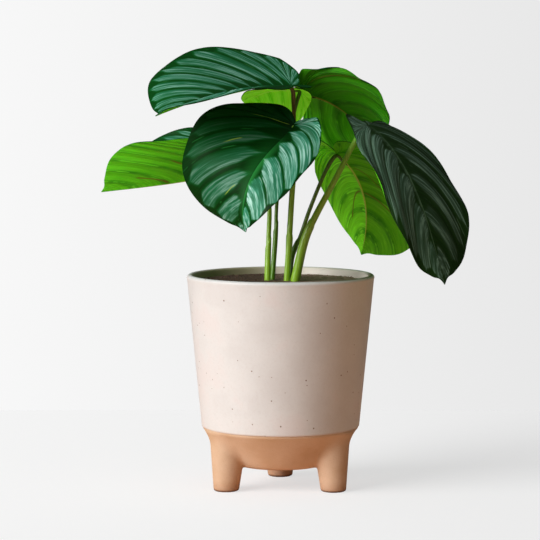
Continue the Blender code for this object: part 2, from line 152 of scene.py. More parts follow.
# ---------------------------------------------------------------- light and camera
KEY_TURN = 57.0                 # the key light stands this far left of straight in front
KEY_RISE = 22.0                 # and this many degrees above the level
KEY_SPREAD = 46.0               # its disc is this wide, which makes it soft
KEY_STRENGTH = 4.0
TOP_LIGHT = 0.23                # light from straight above, fading to none at the level
TOP_FADE = (-0.05, 1.0)
WALL_LIGHT = 0.10               # light from behind, as a pale wall gives
WALL_FADE = (0.2, 0.9)
EVERYWHERE_LIGHT = 0.02
FLOOR_SHADE = 0.37              # how much of the floor's tone follows its light
FLOOR_GLOW = 0.665              # and how much is there in the shade too
FLOOR_RIGHT = 0.89              # its tone at the right, as a share of that at the left: painted light that falls off to the right
FLOOR_FADE = 600.0              # over which it changes, either side of the middle
FLOOR_BOUNCE = (0.90, 0.52, 0.32)   # what it throws back at the plant
BOUNCE_GLOW = 0.04              # of which this share is there in the shade too
BACKDROP_LEFT = 0.99            # the backdrop's tone at the left and at the right
BACKDROP_RIGHT = 0.755
BACKDROP_FADE = 0.3             # where it has changed, as the sideways share of a direction
CAMERA_LENS = 163.23
CAMERA_PLACE = (-0.0106, -2.45, 0.4332)     # metres
CAMERA_DOWN = 4.994             # the camera looks this many degrees below the level


@dataclass
class Leaf:
    """One leaf. Triples give a value at the blade's base, middle and tip."""
    name: str
    slot: str
    base: tuple                 # where the stalk meets the blade
    length: float
    half_width: tuple           # left and right of the midrib, looking along it to the tip
    heading: tuple              # the midrib's bearing, from +X towards +Y
    rise: tuple                 # its slope above the level
    roll: tuple                 # the blade's turn about it, right edge up
    fold_left: tuple            # each half's slope above the blade's own plane at the midrib
    fold_right: tuple
    curl_left: tuple            # and how much that slope grows from midrib to edge
    curl_right: tuple
    wave: tuple                 # edge wave: height, waves along the edge, phase in degrees
    lobes: tuple                # depth of the lobes behind the stalk, left and right
    root: tuple                 # x and y of the stalk where it stands in the soil
    way: tuple                  # points that the stalk passes on its way up
    stalk: tuple                # radius at the soil and under the blade
    sheath: tuple               # height of the sheath's open end, and the side that it faces
    bands: tuple                # stripes in the left and right half, one between two side veins
    sweep: tuple                # for each half: share of the edge whose veins start at the stalk,
                                # how the others crowd towards it, and their bend along and across
    pleat: float                # how high the blade swells between two veins
    upper: str                  # finishes of the two faces and the stalk
    lower: str
    stem: str


LEAVES = (
    Leaf("leaf_top_left", "leaf", base=(11, 8, 404), length=168, half_width=(57, 90),
         heading=(195, 226, 193), rise=(0, -9, -23), roll=(-5, -12, -18),
         fold_left=(-6, -5, -5), fold_right=(37, 29, 17),
         curl_left=(-7, -7, -8), curl_right=(-1, -3, -29), wave=(2.0, 3.0, 40),
         lobes=(1.0, 0.7), root=(6.5, 14),
         way=((9, 16, 255), (11.5, 16, 305), (13.5, 14, 350), (13, 11, 386)),
         stalk=(2.3, 1.9), sheath=(262, 180),
         bands=(10, 15), sweep=((0.50, 1.5, 0.30, 0.70), (0.28, 1.4, 0.40, 0.60)),
         pleat=0.55, upper="silver_top", lower="plain", stem="brown"),
    Leaf("leaf_top_right", "leaf_under", base=(22, 68, 394), length=112, half_width=(60, 57),
         heading=(-4, 22, -5), rise=(-3, -38, -44), roll=(42, 36, 30),
         fold_left=(17, 3, 1), fold_right=(9, -8, -21),
         curl_left=(4, -1, -18), curl_right=(-14, -8, -17), wave=(2.8, 6.0, 60),
         lobes=(0.7, 0.6), root=(8, 41),
         way=((9, 43, 255), (12, 52, 305), (15.5, 62, 350), (18, 66, 380)),
         stalk=(2.3, 1.9), sheath=(258, 0),
         bands=(11, 12), sweep=((0.56, 1.8, 0.18, 0.80), (0.52, 1.6, 0.24, 0.78)),
         pleat=0.7, upper="silver_top", lower="deep", stem="dark"),
    Leaf("leaf_front", "leaf", base=(13, -37, 366), length=141, half_width=(48, 96),
         heading=(244, 225, 225), rise=(-30, -45, -117), roll=(5, 9, -4),
         fold_left=(17, 1, 15), fold_right=(28, 8, -5),
         curl_left=(5, -29, -27), curl_right=(-26, -17, -15), wave=(1.8, 3.0, 120),
         lobes=(0.6, 1.3), root=(6.4, -2),
         way=((9, -2, 250), (12.5, -6, 305), (17, -16, 345)),
         stalk=(2.7, 2.1), sheath=(259, 180),
         bands=(8.85, 9.5), sweep=((0.35, 1.6, 0.26, 0.74), (0.40, 1.3, 0.44, 0.60)),
         pleat=0.5, upper="silver_front", lower="plain", stem="green"),
    Leaf("leaf_left", "leaf", base=(-38, 22, 321), length=151, half_width=(59, 64),
         heading=(175, 169, 160), rise=(-16, -9, -8), roll=(6, 7, 1),
         fold_left=(47, 55, 65), fold_right=(35, 44, 37),
         curl_left=(-2, 4, 15), curl_right=(-6, 5, -5), wave=(1.2, 3.0, 300),
         lobes=(1.0, 1.0), root=(-13, 0),
         way=((-12, 3, 250), (-11.5, 8, 285), (-19, 16, 309)),
         stalk=(2.5, 2.0), sheath=(248, 0),
         bands=(16, 12), sweep=((0.60, 1.7, 0.20, 0.80), (0.58, 2.0, 0.20, 0.78)),
         pleat=0.6, upper="silver_top", lower="left", stem="green"),
    Leaf("leaf_right", "leaf_dark", base=(86, -30, 365), length=182, half_width=(64, 41),
         heading=(-28, -43, -36), rise=(-35, -61, -72), roll=(-5, -2, -4),
         fold_left=(7, 4, 4), fold_right=(-6, -3, -27),
         curl_left=(-24, -9, 2), curl_right=(-32, -2, 3), wave=(2.2, 3.5, 250),
         lobes=(0.1, 1.2), root=(14.7, -8),
         way=((24, -12, 250), (35, -16, 275), (54, -22, 311), (74, -28, 350)),
         stalk=(4.0, 2.0), sheath=(268, 150),
         bands=(12, 13), sweep=((0.55, 1.6, 0.20, 0.82), (0.55, 1.6, 0.10, 0.92)),
         pleat=1.1, upper="charcoal", lower="plain", stem="green"),
    Leaf("leaf_middle_right", "leaf_under", base=(57, 12, 336), length=153,
         half_width=(58, 68), heading=(38, 77, 106), rise=(-34, -48, -52), roll=(-2, -8, -18),
         fold_left=(20, 21, 44), fold_right=(16, -3, -13),
         curl_left=(-19, -6, 14), curl_right=(-1, -13, -18), wave=(1.8, 3.0, 10),
         lobes=(1.0, 1.0), root=(9, 27),
         way=((12, 26, 232), (20.5, 23, 252), (30, 19, 280), (45, 14, 317)),
         stalk=(2.2, 1.8), sheath=(244, 200),
         bands=(15, 13), sweep=((0.56, 1.5, 0.10, 0.92), (0.50, 1.4, 0.22, 0.80)),
         pleat=0.9, upper="silver_top", lower="middle", stem="dark"),
    Leaf("leaf_back", "leaf_under", base=(20, 28, 400), length=70, half_width=(26, 46),
         heading=(158, 146, 142), rise=(0, -10, -50), roll=(-30, -34, -32),
         fold_left=(-24, -26, -22), fold_right=(-14, -20, -20),
         curl_left=(-4, -10, -10), curl_right=(-8, -14, -11), wave=(1.2, 2.5, 90),
         lobes=(0.8, 1.3), root=(-8, 12),
         way=((-5, 15, 250), (-3, 17, 292), (6, 20, 340), (15.5, 23.5, 384)),
         stalk=(1.9, 1.7), sheath=(264, 0),
         bands=(8, 8), sweep=((0.40, 1.2, 0.26, 0.72), (0.40, 1.2, 0.26, 0.72)),
         pleat=0.4, upper="silver_top", lower="lit_through", stem="dark"),
)


# ---------------------------------------------------------------- node trees

class Wire:
    """A value, colour or vector in a node tree; arithmetic on it adds Math nodes."""

    def __init__(self, net, node, output):
        self.net = net
        self.node = node
        self.socket = pick(node.outputs, output) if len(node.outputs) else None

    def part(self, output):
        """Another output of the same node."""
        return Wire(self.net, self.node, output)

    def math(self, operation, *values):
        """A Math node's result for this value and the others."""
        return self.net.node("ShaderNodeMath", {"operation": operation},
                             dict(enumerate((self, *values))))

    def __add__(self, other):
        return self.math("ADD", other)

    def __mul__(self, other):
        return self.math("MULTIPLY", other)

    def __sub__(self, other):
        return self.math("SUBTRACT", other)

    def __rsub__(self, other):
        return self.net.node("ShaderNodeMath", {"operation": "SUBTRACT"}, {0: other, 1: self})

    def __truediv__(self, other):
        return self.math("DIVIDE", other)

    def __gt__(self, other):
        return self.math("GREATER_THAN", other)

    def __abs__(self):
        return self.math("ABSOLUTE")

    __radd__ = __add__
    __rmul__ = __mul__

    def step(self, start, end, low=0.0, high=1.0):
        """Smoothly from low to high as the value goes from start to end."""
        return self.net.node("ShaderNodeMapRange", {"interpolation_type": "SMOOTHSTEP"},
                             {0: self, 1: start, 2: end, 3: low, 4: high})

    def step_mm(self, start, end, low=0.0, high=1.0):
        """The same along a length, with start and end in millimetres."""
        return self.step(start * MM, end * MM, low, high)


def pick(sockets, key):
    """A socket by its place, its identifier or its name."""
    if isinstance(key, int):
        return sockets[key]
    named = [s for s in sockets if key in (s.identifier, s.name)]
    return named[0]


class Net:
    """A node tree under construction."""

    def __init__(self, tree):
        self.tree = tree

    def node(self, kind, settings=None, values=None, output=0):
        """Adds a node: its settings first, then the values or links of its sockets."""
        node = self.tree.nodes.new(kind)
        for name, setting in (settings or {}).items():
            setattr(node, name, setting)
        for key, value in (values or {}).items():
            socket = pick(node.inputs, key)
            if isinstance(value, Wire):
                self.tree.links.new(value.socket, socket)
            elif socket.type == "RGBA" and len(value) == 3:
                socket.default_value = (*value, 1.0)
            else:
                socket.default_value = value
        return Wire(self, node, output)

    def mix(self, factor, first, second, blend="MIX"):
        """Colours mixed by a factor."""
        return self.node("ShaderNodeMix", {"data_type": "RGBA", "blend_type": blend},
                         {"Factor_Float": factor, "A_Color": first, "B_Color": second},
                         output="Result_Color")

    def vector(self, x, y, z=0.0):
        """Three values as one vector."""
        return self.node("ShaderNodeCombineXYZ", None, {0: x, 1: y, 2: z})

    def noise(self, where, scale, detail=2.0, rough=0.5):
        """Smooth random tones, 0 to 1."""
        return self.node("ShaderNodeTexNoise", None,
                         {"Vector": where, "Scale": scale, "Detail": detail, "Roughness": rough})


def grey(net, tone):
    """A tone as a colour."""
    return net.vector(tone, tone, tone)


def colour(red, green, blue):
    """A display colour, 0 to 255, as the linear light that a shader takes."""
    values = (c / 255 for c in (red, green, blue))
    return tuple(c / 12.92 if c <= 0.04045 else ((c + 0.055) / 1.055)**2.4 for c in values)


def material(name, paint):
    """A material whose tree paint(net) fills; paint returns the Principled shader's sockets."""
    item = bpy.data.materials.new(name)
    item.use_nodes = True
    item.node_tree.nodes.clear()
    net = Net(item.node_tree)
    shader = net.node("ShaderNodeBsdfPrincipled", None, paint(net))
    net.node("ShaderNodeOutputMaterial", None, {"Surface": shader})
    return item


def bump(net, height, deep):
    """A normal for fine relief, deep in millimetres where the height goes from 0 to 1."""
    return net.node("ShaderNodeBump", None,
                    {"Strength": 1.0, "Distance": deep * MM, "Height": height})


def object_place(net):
    """Object coordinates, and their x, y and z."""
    place = net.node("ShaderNodeTexCoord", output="Object")
    parts = net.node("ShaderNodeSeparateXYZ", None, {0: place})
    return place, parts.part(0), parts.part(1), parts.part(2)


# ---------------------------------------------------------------- leaf finishes

HALF_BLEND = 0.6                # one half's value gives way to the other's across the midrib
LIT_VEIN = colour(132, 158, 56)
BROWN_VEIN = colour(96, 84, 24)
VEIN_LINE_STRENGTH = 0.8
VEIN_LINE_EDGE = 0.3            # its full strength is in this share of its width
VEIN_LINE_BEGINS = (-0.01, 0.03)    # shares of the half over which it sets in
VEIN_LINE_FADES = (-0.08, 0.01)     # and over which it fades at its end

# Upper face: shares of a stripe's pitch, of the half, or of a full strength.
STRIPE_OPENS = 0.28             # a stripe opens over this share of the half
STRIPE_CLOSES = 0.16            # and closes over this share before its end
STRIPE_SHUT = 1.05              # there its dark vein takes its whole pitch and a little more
STRIPE_WANDER = 0.22            # its sides wander by this share of the pitch
STRIPE_FRAY = 0.3               # and fray by this share
STRIPE_SIDE = (-0.04, 0.20)     # how softly silver sets in inside a stripe's side
GREEN_SIDE = (-0.25, 0.10)      # and the green round it
GREEN_STRENGTH = (0.25, 0.6)    # the green's strength, and what the stripe's adds
STRENGTH_TURN = (0.42, 1.0)     # shares round the edge, from the base's strength to the tip's
STRENGTH_OWN = (0.75, 0.4)      # a stripe's own strength: the least, and what chance adds
DEEP_GRAIN = 1.7                # the ground's grain is this much lighter than its deep tone
CREST_HIGHLIGHT = (0.0, 0.09)             # some veins carry a thin painted highlight along their crests
CREST_HIGHLIGHT_STRENGTH = 0.5
RIDGE_HIGHLIGHT_SIDES = (1.0, 0.3)        # how strong the painted highlight on the ridges beside the midrib is on either half
RIDGE_HIGHLIGHT_FROM = (0.5, 0.8)         # it shows from here on round the edge
GROOVE_LINE = (0.004, 0.014)    # the midrib's groove is a dark line this wide

# Underside.
THROUGH_GLOW_TINT = (0.45, 1.0, 0.12)    # tint of the painted glow that stands in for light let through from the blade's other face
BULGE = (0.0, 0.55)             # the blade is painted lighter between its veins, partly its own tone and partly painted shade in the vein grooves
BULGE_STRENGTH = 0.8
LIGHT_LINE = (1.8, 0.02)        # fine lines, and the painted highlights on crests, are this much lighter: factor and addition
LIGHT_LINE_STRENGTH = 0.38
UNDER_CREST_HIGHLIGHT = (0.0, 0.16)
RIB_LINE = (0.006, 0.020)       # the midrib is a tinted line this wide
RIB_LINE_STRENGTH = 0.85


class BladePlace:
    """Where a point of a blade lies, as wires in a material's tree."""

    def __init__(self, net, bands):
        place = net.node("ShaderNodeAttribute", {"attribute_name": "vein"}, output="Vector")
        parts = net.node("ShaderNodeSeparateXYZ", None, {0: place})
        self.net = net
        self.t = parts.part(0)          # share round the edge, 0 at the stalk and 1 at the tip
        self.v = parts.part(1)          # share across the half, 0 at the midrib and 1 at the edge
        self.side = parts.part(2)       # -1 on the left half and 1 on the right
        self.passed = self.t * self.by_half(*bands)     # side veins passed on the way round
        self.onward = self.passed.math("FRACT")         # share of the way to the next one

    def by_half(self, left, right):
        """One value on the left half and another on the right."""
        return self.side.step(-HALF_BLEND, HALF_BLEND, left, right)

    def between_veins(self):
        """0 on a side vein and 1 half way to the next one."""
        return 1.0 - abs(self.onward * 2.0 - 1.0)

    def streaks(self, over_veins, along_veins, halves_apart, scale=1.0, detail=2.0, rough=0.5):
        """Random tones, drawn out along the side veins and not the same on both halves."""
        where = self.net.vector(self.passed * over_veins, self.v * along_veins,
                                self.side * halves_apart)
        return self.net.noise(where, scale, detail, rough)

    def vein_lines(self, lines, face, tint):
        """The face with thin tinted lines: from t and v to t and v on a half, with a half width."""
        mask = None
        for start_t, start_v, end_t, end_v, half, wide in lines:
            at = self.v.step(start_v, end_v, start_t, end_t)
            near = 1.0 - abs(self.t - at).step(wide * VEIN_LINE_EDGE, wide)
            on_half = 1.0 - abs(self.side - half).step(0.3, 0.9)
            begun = self.v.step(*(start_v + share for share in VEIN_LINE_BEGINS))
            going_on = self.v.step(*(end_v + share for share in VEIN_LINE_FADES), 1.0, 0.0)
            here = near * on_half * begun * going_on
            mask = here if mask is None else mask.math("MAXIMUM", here)
        return self.net.mix(mask * VEIN_LINE_STRENGTH, face, tint) if lines else face


def upper_finish(name, bands, deep, green, silver, pale, vein, left, right, gloss=0.42, rib=0.0,
                 rib_width=0.10, lit=()):
    """Glossy upper face with silver stripes between dark green veins, and a few lit side veins.

    left and right say for each half how strong its stripes are near the stalk and near the tip,
    how much of their pitch the dark veins take, and where they start and end across the half. The
    strengths are partly painted light, so the half that faces the light gets paler, stronger stripes.
    rib is the strength of a painted highlight beside the midrib, and rib_width its width.
    """
    def paint(net):
        blade = BladePlace(net, bands)
        t, v = blade.t, blade.v
        at_base, at_tip, line, start, end = (blade.by_half(a, b) for a, b in zip(left, right))
        middle = blade.between_veins()
        wobble = blade.streaks(0.9, 2.5, 3.0, scale=1.6)
        streak = blade.streaks(7.0, 1.3, 5.0, detail=3.0, rough=0.6)
        fine = blade.streaks(26.0, 4.0, 7.0, rough=0.6)
        own = net.node("ShaderNodeTexWhiteNoise", {"noise_dimensions": "2D"},
                       {"Vector": net.vector(blade.passed.math("FLOOR"), blade.side)})

        opening = v.step(start, start + STRIPE_OPENS, STRIPE_SHUT, 0.0)
        closing = v.step(end - STRIPE_CLOSES, end, 0.0, STRIPE_SHUT)
        dark_share = line + (opening + closing) * (1.0 - line) + (wobble - 0.5) * STRIPE_WANDER
        inside = middle - dark_share + (streak - 0.5) * STRIPE_FRAY
        least, chance = STRENGTH_OWN
        strength = at_base + (at_tip - at_base) * t.step(*STRENGTH_TURN)
        strength = strength * (least + own * chance)
        strength = strength * streak.step(0.36, 0.60, 0.35, 1.15) * fine.step(0.25, 0.75, 0.7, 1.15)

        # the pale streaks in the stripes are partly the silver's own tone and partly painted sheen
        bright = streak.step(0.48, 0.64) * 0.75 + blade.onward.step(0.4, 0.85) * 0.25
        tint = net.mix(bright * fine.step(0.3, 0.7, 0.5, 1.0), silver, pale)
        ground = net.mix(fine.step(0.3, 0.8), deep, tuple(c * DEEP_GRAIN for c in deep))
        least, more = GREEN_STRENGTH
        ground = net.mix(inside.step(*GREEN_SIDE) * (least + strength * more), ground, green)
        stripe = inside.step(*STRIPE_SIDE) * strength
        face = net.mix(stripe.math("MINIMUM", 1.0), ground, tint)

        # painted highlight along the crests of some veins
        crest_highlight = (1.0 - middle.step(*CREST_HIGHLIGHT)) * wobble.step(0.56, 0.66) * v.step(0.1, 0.3)
        face = net.mix(crest_highlight * CREST_HIGHLIGHT_STRENGTH, face, vein)
        # painted highlight on the ridges beside the midrib, with rib as its strength
        beside_rib = 1.0 - v.step(0.015, rib_width)
        ridge_highlight = beside_rib * t.step(*RIDGE_HIGHLIGHT_FROM) * blade.by_half(*RIDGE_HIGHLIGHT_SIDES)
        face = net.mix(ridge_highlight * rib, face, vein)
        face = net.mix((1.0 - v.step(*GROOVE_LINE)) * 0.5, face, ground)
        return {"Base Color": blade.vein_lines(lit, face, LIT_VEIN),
                "Roughness": 0.14 * streak + gloss,
                "Specular IOR Level": 0.0, "Coat Weight": 0.12, "Coat Roughness": 0.38,
                "Normal": bump(net, fine * 0.3 + middle * 0.5, 0.25)}
    return material(name, paint)


def lower_finish(name, bands, light, dark, rib_tint, shade=(1.0, 1.0), through=0.08, tinted=()):
    """Matt underside: light green, painted a little darker along the veins, partly its own tone and
    partly painted shade in their grooves, with painted highlights on some crests and a thin tinted
    midrib.

    shade is painted light and shade, how much lighter or darker each half is painted; through is a
    painted glow that stands in for light coming through the blade; and tinted names the brown side veins.
    """
    def paint(net):
        blade = BladePlace(net, bands)
        v = blade.v
        middle = blade.between_veins()
        wobble = blade.streaks(0.8, 2.0, 3.0, scale=1.5)
        streak = blade.streaks(6.0, 1.2, 5.0, detail=3.0, rough=0.6)
        fine = blade.streaks(20.0, 2.0, 7.0, rough=0.6)
        cloud = net.noise(net.vector(blade.t * 5.0, v * 3.0, blade.side * 4.0), scale=1.0)

        # partly painted shade: darker along the vein grooves, lighter on the bulges between
        rounded = (middle + (wobble - 0.5) * 0.5).step(*BULGE)
        face = net.mix(rounded * BULGE_STRENGTH, dark, light)
        face = net.mix(streak.step(0.42, 0.66) * 0.35, face, dark)
        face = net.mix(cloud.step(0.35, 0.7) * 0.3, face, light)
        factor, addition = LIGHT_LINE
        pale = tuple(min(1.0, c * factor + addition) for c in light)
        # painted highlight along the crests of some veins
        crest_highlight = (1.0 - middle.step(*UNDER_CREST_HIGHLIGHT)) * wobble.step(0.46, 0.56)
        face = net.mix(crest_highlight * CREST_HIGHLIGHT_STRENGTH, face, pale)
        face = net.mix(fine.step(0.50, 0.70) * LIGHT_LINE_STRENGTH, face, pale)
        # painted light and shade: each half is painted lighter or darker by shade
        face = net.mix(1.0, face, grey(net, blade.by_half(*shade)), blend="MULTIPLY")
        face = blade.vein_lines(tinted, face, BROWN_VEIN)
        face = net.mix((1.0 - v.step(*RIB_LINE)) * RIB_LINE_STRENGTH, face, rib_tint)
        return {"Base Color": face,
                "Roughness": 0.12 * streak + 0.55,
                "Specular IOR Level": 0.12,
                # painted light: the underside glows a little, standing in for light coming through the
                # blade
                "Emission Color": net.mix(1.0, face, THROUGH_GLOW_TINT, blend="MULTIPLY"),
                "Emission Strength": through,
                "Subsurface Weight": 0.6, "Subsurface Scale": 1.5 * MM,
                "Subsurface Radius": (0.5, 1.0, 0.15),
                "Normal": bump(net, streak * 0.4 + fine * 0.2 - middle * 0.9, 1.0)}
    return material(name, paint)


STEM_TOP_Z = 360.0              # the stalks have their upper tint from here


def stem_finish(name, low, high, line_tint):
    """Stalk: fine lengthwise lines, and a tint that changes from the soil to the blade."""
    def paint(net):
        place, _, _, height = object_place(net)
        drawn_out = net.node("ShaderNodeMapping", None,
                             {"Vector": place, "Scale": (1.0, 1.0, 0.05)})
        lines = net.noise(drawn_out, scale=900.0, detail=3.0, rough=0.6)
        spots = net.noise(place, scale=260.0)
        face = net.mix(height.step_mm(SOIL_Z, STEM_TOP_Z), low, high)
        face = net.mix(lines.step(0.45, 0.75) * 0.5, face, line_tint)
        face = net.mix(spots.step(0.58, 0.8) * 0.35, face, high)
        return {"Base Color": face,
                "Roughness": 0.15 * lines + 0.30,
                "Specular IOR Level": 0.35, "Coat Weight": 0.4, "Coat Roughness": 0.25,
                "Normal": bump(net, lines, 0.12)}
    return material(name, paint)


# lit and tinted name single side veins: the line's start and end as t, v and t, v, its half, and
# its half width as a share of the way round the edge. left and right are upper_finish's.
UPPER = {
    "silver_front": dict(deep=colour(4, 38, 6), green=colour(14, 96, 40),
                         silver=colour(62, 140, 112), pale=colour(178, 220, 208),
                         vein=colour(40, 126, 56), rib=0.75, rib_width=0.2,
                         lit=((0.426, 0.03, 0.367, 0.43, 1.0, 0.006),
                              (0.591, 0.32, 0.601, 0.50, 1.0, 0.004),
                              (0.818, 0.22, 0.831, 0.46, 1.0, 0.003)),
                         left=(1.0, 1.15, 0.10, -0.02, 1.04), right=(0.03, 0.46, 0.26, 0.0, 0.97)),
    "silver_top": dict(deep=colour(4, 54, 12), green=colour(12, 98, 40),
                       silver=colour(46, 118, 88), pale=colour(140, 190, 172),
                       vein=colour(70, 150, 80),
                       left=(-1.0, 2.6, 0.05, -0.1, 1.0), right=(0.85, 0.85, 0.24, -0.06, 0.99)),
    "charcoal": dict(deep=colour(20, 44, 14), green=colour(36, 60, 30),
                     silver=colour(64, 92, 76), pale=colour(124, 160, 138),
                     vein=colour(104, 138, 108), gloss=0.40, rib=0.45, rib_width=0.04,
                     left=(0.55, 0.75, 0.35, -0.05, 0.99), right=(0.95, 0.8, 0.0, -0.1, 1.0)),
}
LOWER = {
    "left": dict(light=colour(88, 186, 18), dark=colour(42, 126, 8), through=0.05,
                 rib_tint=colour(160, 160, 84),
                 tinted=((0.870, 0.03, 0.899, 0.52, -1.0, 0.007), (0.766, 0.40, 0.756, 0.58, -1.0, 0.007),
                         (0.883, 0.03, 0.909, 0.60, 1.0, 0.007), (0.802, 0.38, 0.799, 0.58, 1.0, 0.007))),
    "middle": dict(light=colour(116, 206, 34), dark=colour(44, 128, 6), through=0.14,
                   rib_tint=colour(186, 184, 104), shade=(1.1, 0.6),
                   tinted=((0.766, 0.02, 0.779, 0.46, 1.0, 0.005), (0.636, 0.02, 0.711, 0.32, 1.0, 0.006),
                           (0.802, 0.04, 0.876, 0.60, -1.0, 0.006))),
    "deep": dict(light=colour(62, 150, 4), dark=colour(30, 100, 2), shade=(1.4, 0.82),
                 rib_tint=colour(150, 134, 66), tinted=((0.49, 0.10, 0.50, 0.95, 1.0, 0.010),)),
    # lit_through is painted brighter and glows more, standing in for light coming through the blade
    "lit_through": dict(light=colour(170, 240, 84), dark=colour(110, 206, 34), through=0.24,
                  rib_tint=colour(196, 226, 130)),
    "plain": dict(light=colour(84, 180, 18), dark=colour(46, 130, 8), rib_tint=colour(160, 160, 84)),
}
STEM = {
    # the green stalks' low tone is partly painted light, made lighter where the stalk stands in shade
    "green": dict(low=colour(132, 176, 34), high=colour(116, 172, 52), line_tint=colour(176, 210, 104)),
    "dark": dict(low=colour(84, 132, 16), high=colour(50, 88, 10), line_tint=colour(130, 166, 60)),
    "brown": dict(low=colour(66, 116, 14), high=colour(80, 64, 22), line_tint=colour(150, 140, 70)),
}


# ---------------------------------------------------------------- curves

FINE_STEPS = 1200               # a curve's length is measured in this many points


def smooth_curve(points, where):
    """Points of a Catmull-Rom curve through the given ones; where counts from 0 to len - 1."""
    points = np.asarray(points, float)
    where = np.clip(np.asarray(where, float), 0, len(points) - 1 - 1e-9)
    start = where.astype(int)
    t = (where - start)[..., None]
    ends = np.vstack([2 * points[0] - points[1], points, 2 * points[-1] - points[-2]])
    a, b, c, d = (ends[start + k] for k in range(4))
    return 0.5 * (2 * b + (c - a) * t + (2 * a - 5 * b + 4 * c - d) * t**2
                  + (3 * b - a - 3 * c + d) * t**3)


def even_curve(points, shares, stretch):
    """Points at even shares of a smooth curve's length, measured with its axes stretched."""
    fine = smooth_curve(points, np.linspace(0, len(points) - 1, FINE_STEPS))
    steps = np.linalg.norm(np.diff(fine * stretch, axis=0), axis=1)
    along = np.concatenate([[0.0], np.cumsum(steps)])
    along /= along[-1]
    return np.stack([np.interp(shares, along, fine[:, k]) for k in range(fine.shape[1])], -1)


def spread(triple, a):
    """The parabola through a leaf's values at base, middle and tip."""
    a = np.clip(a, 0, 1)
    at_base, at_middle, at_tip = triple
    return (at_base * (1 - a) * (1 - 2 * a) + 4 * at_middle * a * (1 - a)
            + at_tip * a * (2 * a - 1))


# ---------------------------------------------------------------- blade

def midrib_frame(leaf, a):
    """The midrib's points and its right and up directions at shares a of its length."""
    shares = np.linspace(*MIDRIB_REACH, MIDRIB_STEPS)
    heading = np.radians(spread(leaf.heading, shares))
    rise = np.radians(spread(leaf.rise, shares))
    roll = np.radians(spread(leaf.roll, shares))[:, None]
    along = np.stack([np.cos(rise) * np.cos(heading), np.cos(rise) * np.sin(heading),
                      np.sin(rise)], -1)
    level = np.stack([np.sin(heading), -np.cos(heading), 0 * heading], -1)
    over = np.cross(level, along)
    right = np.cos(roll) * level + np.sin(roll) * over
    up = -np.sin(roll) * level + np.cos(roll) * over
    step = (shares[1] - shares[0]) * leaf.length
    line = np.concatenate([[np.zeros(3)], np.cumsum((along[1:] + along[:-1]) / 2 * step, axis=0)])
    line += np.array(leaf.base) - line[np.argmin(abs(shares))]
    return [np.stack([np.interp(a, shares, row[:, k]) for k in range(3)], -1)
            for row in (line, right, up)]


def half_blade(leaf, side, veins, across):
    """Points of one half of the blade's middle surface; side is 1 on the right, -1 on the left.

    Each side vein runs from its start on the midrib, by a bend, to its end on the edge. The half
    is folded and curled about the midrib, and then waves and swells.
    """
    vein, v = np.meshgrid(veins, across, indexing="ij")
    edge = even_curve(OUTLINE, veins, (1.0, OUTLINE_ASPECT))[:, None, :] + 0 * v[..., None]
    half = 0 if side < 0 else 1
    deepen = 1 + (leaf.lobes[half] - 1) * np.clip(edge[..., 1] / NOTCH_HALF_WIDTH, 0, 1)
    edge[..., 0] *= np.where(edge[..., 0] < 0, deepen, 1)
    fan, power, bend_along, bend_across = leaf.sweep[half]
    start = np.clip((vein - fan) / (1 - fan), 0, 1)**power
    bend_a = start + bend_along * (edge[..., 0] - start)
    a = (1 - v)**2 * start + 2 * v * (1 - v) * bend_a + v**2 * edge[..., 0]
    b = 2 * v * (1 - v) * bend_across * edge[..., 1] + v**2 * edge[..., 1]

    width = leaf.half_width[half]
    fold = np.radians(spread((leaf.fold_left, leaf.fold_right)[half], a))
    curl = np.radians(spread((leaf.curl_left, leaf.curl_right)[half], a))
    curl = np.where(abs(curl) < STRAIGHT, STRAIGHT, curl)
    out = (np.sin(fold + curl * b) - np.sin(fold)) / curl * width
    lift = -(np.cos(fold + curl * b) - np.cos(fold)) / curl * width

    height, waves, phase = leaf.wave
    turn = 2 * math.pi * waves * vein + math.radians(phase + HALVES_APART * (1 - half))
    taper = np.sin(math.pi * vein)
    lift = lift + height * v**WAVE_POWER * np.sin(turn) * np.sqrt(taper)
    swell = np.sqrt(np.abs(np.sin(math.pi * vein * leaf.bands[half])) + 1e-9) - SWELL_LEVEL
    window = np.sin(math.pi * np.minimum(v, SWELL_END)**SWELL_POWER)
    window = window * np.minimum(1.0, SWELL_FADE * taper)
    lift = lift + leaf.pleat * swell * window

    line, right, up = midrib_frame(leaf, a)
    return line + side * out[..., None] * right + lift[..., None] * up


def blade_sheet(leaf):
    """The blade's middle surface, with each point's place on the blade in its vein attribute."""
    veins = np.linspace(0, 1, VEIN_STEPS + 1)
    across = np.linspace(0, 1, ACROSS_STEPS + 1)**ACROSS_POWER
    sheet = bmesh.new()
    place = sheet.verts.layers.float_vector.new("vein")
    for side in (1, -1):
        points = half_blade(leaf, side, veins, across) * MM
        rows = [[sheet.verts.new(p) for p in row] for row in points]
        for row, t in zip(rows, veins):
            for vert, v in zip(row, across):
                vert[place] = (t, v, side)
        for near, far in zip(rows, rows[1:]):
            for j in range(ACROSS_STEPS):
                quad = (near[j], near[j + 1], far[j + 1], far[j])
                sheet.faces.new(quad if side > 0 else quad[::-1])
    bmesh.ops.remove_doubles(sheet, verts=sheet.verts, dist=MERGE)
    bmesh.ops.dissolve_degenerate(sheet, edges=sheet.edges, dist=MERGE / 10)
    sheet.normal_update()
    sheet.verts.index_update()
    return sheet


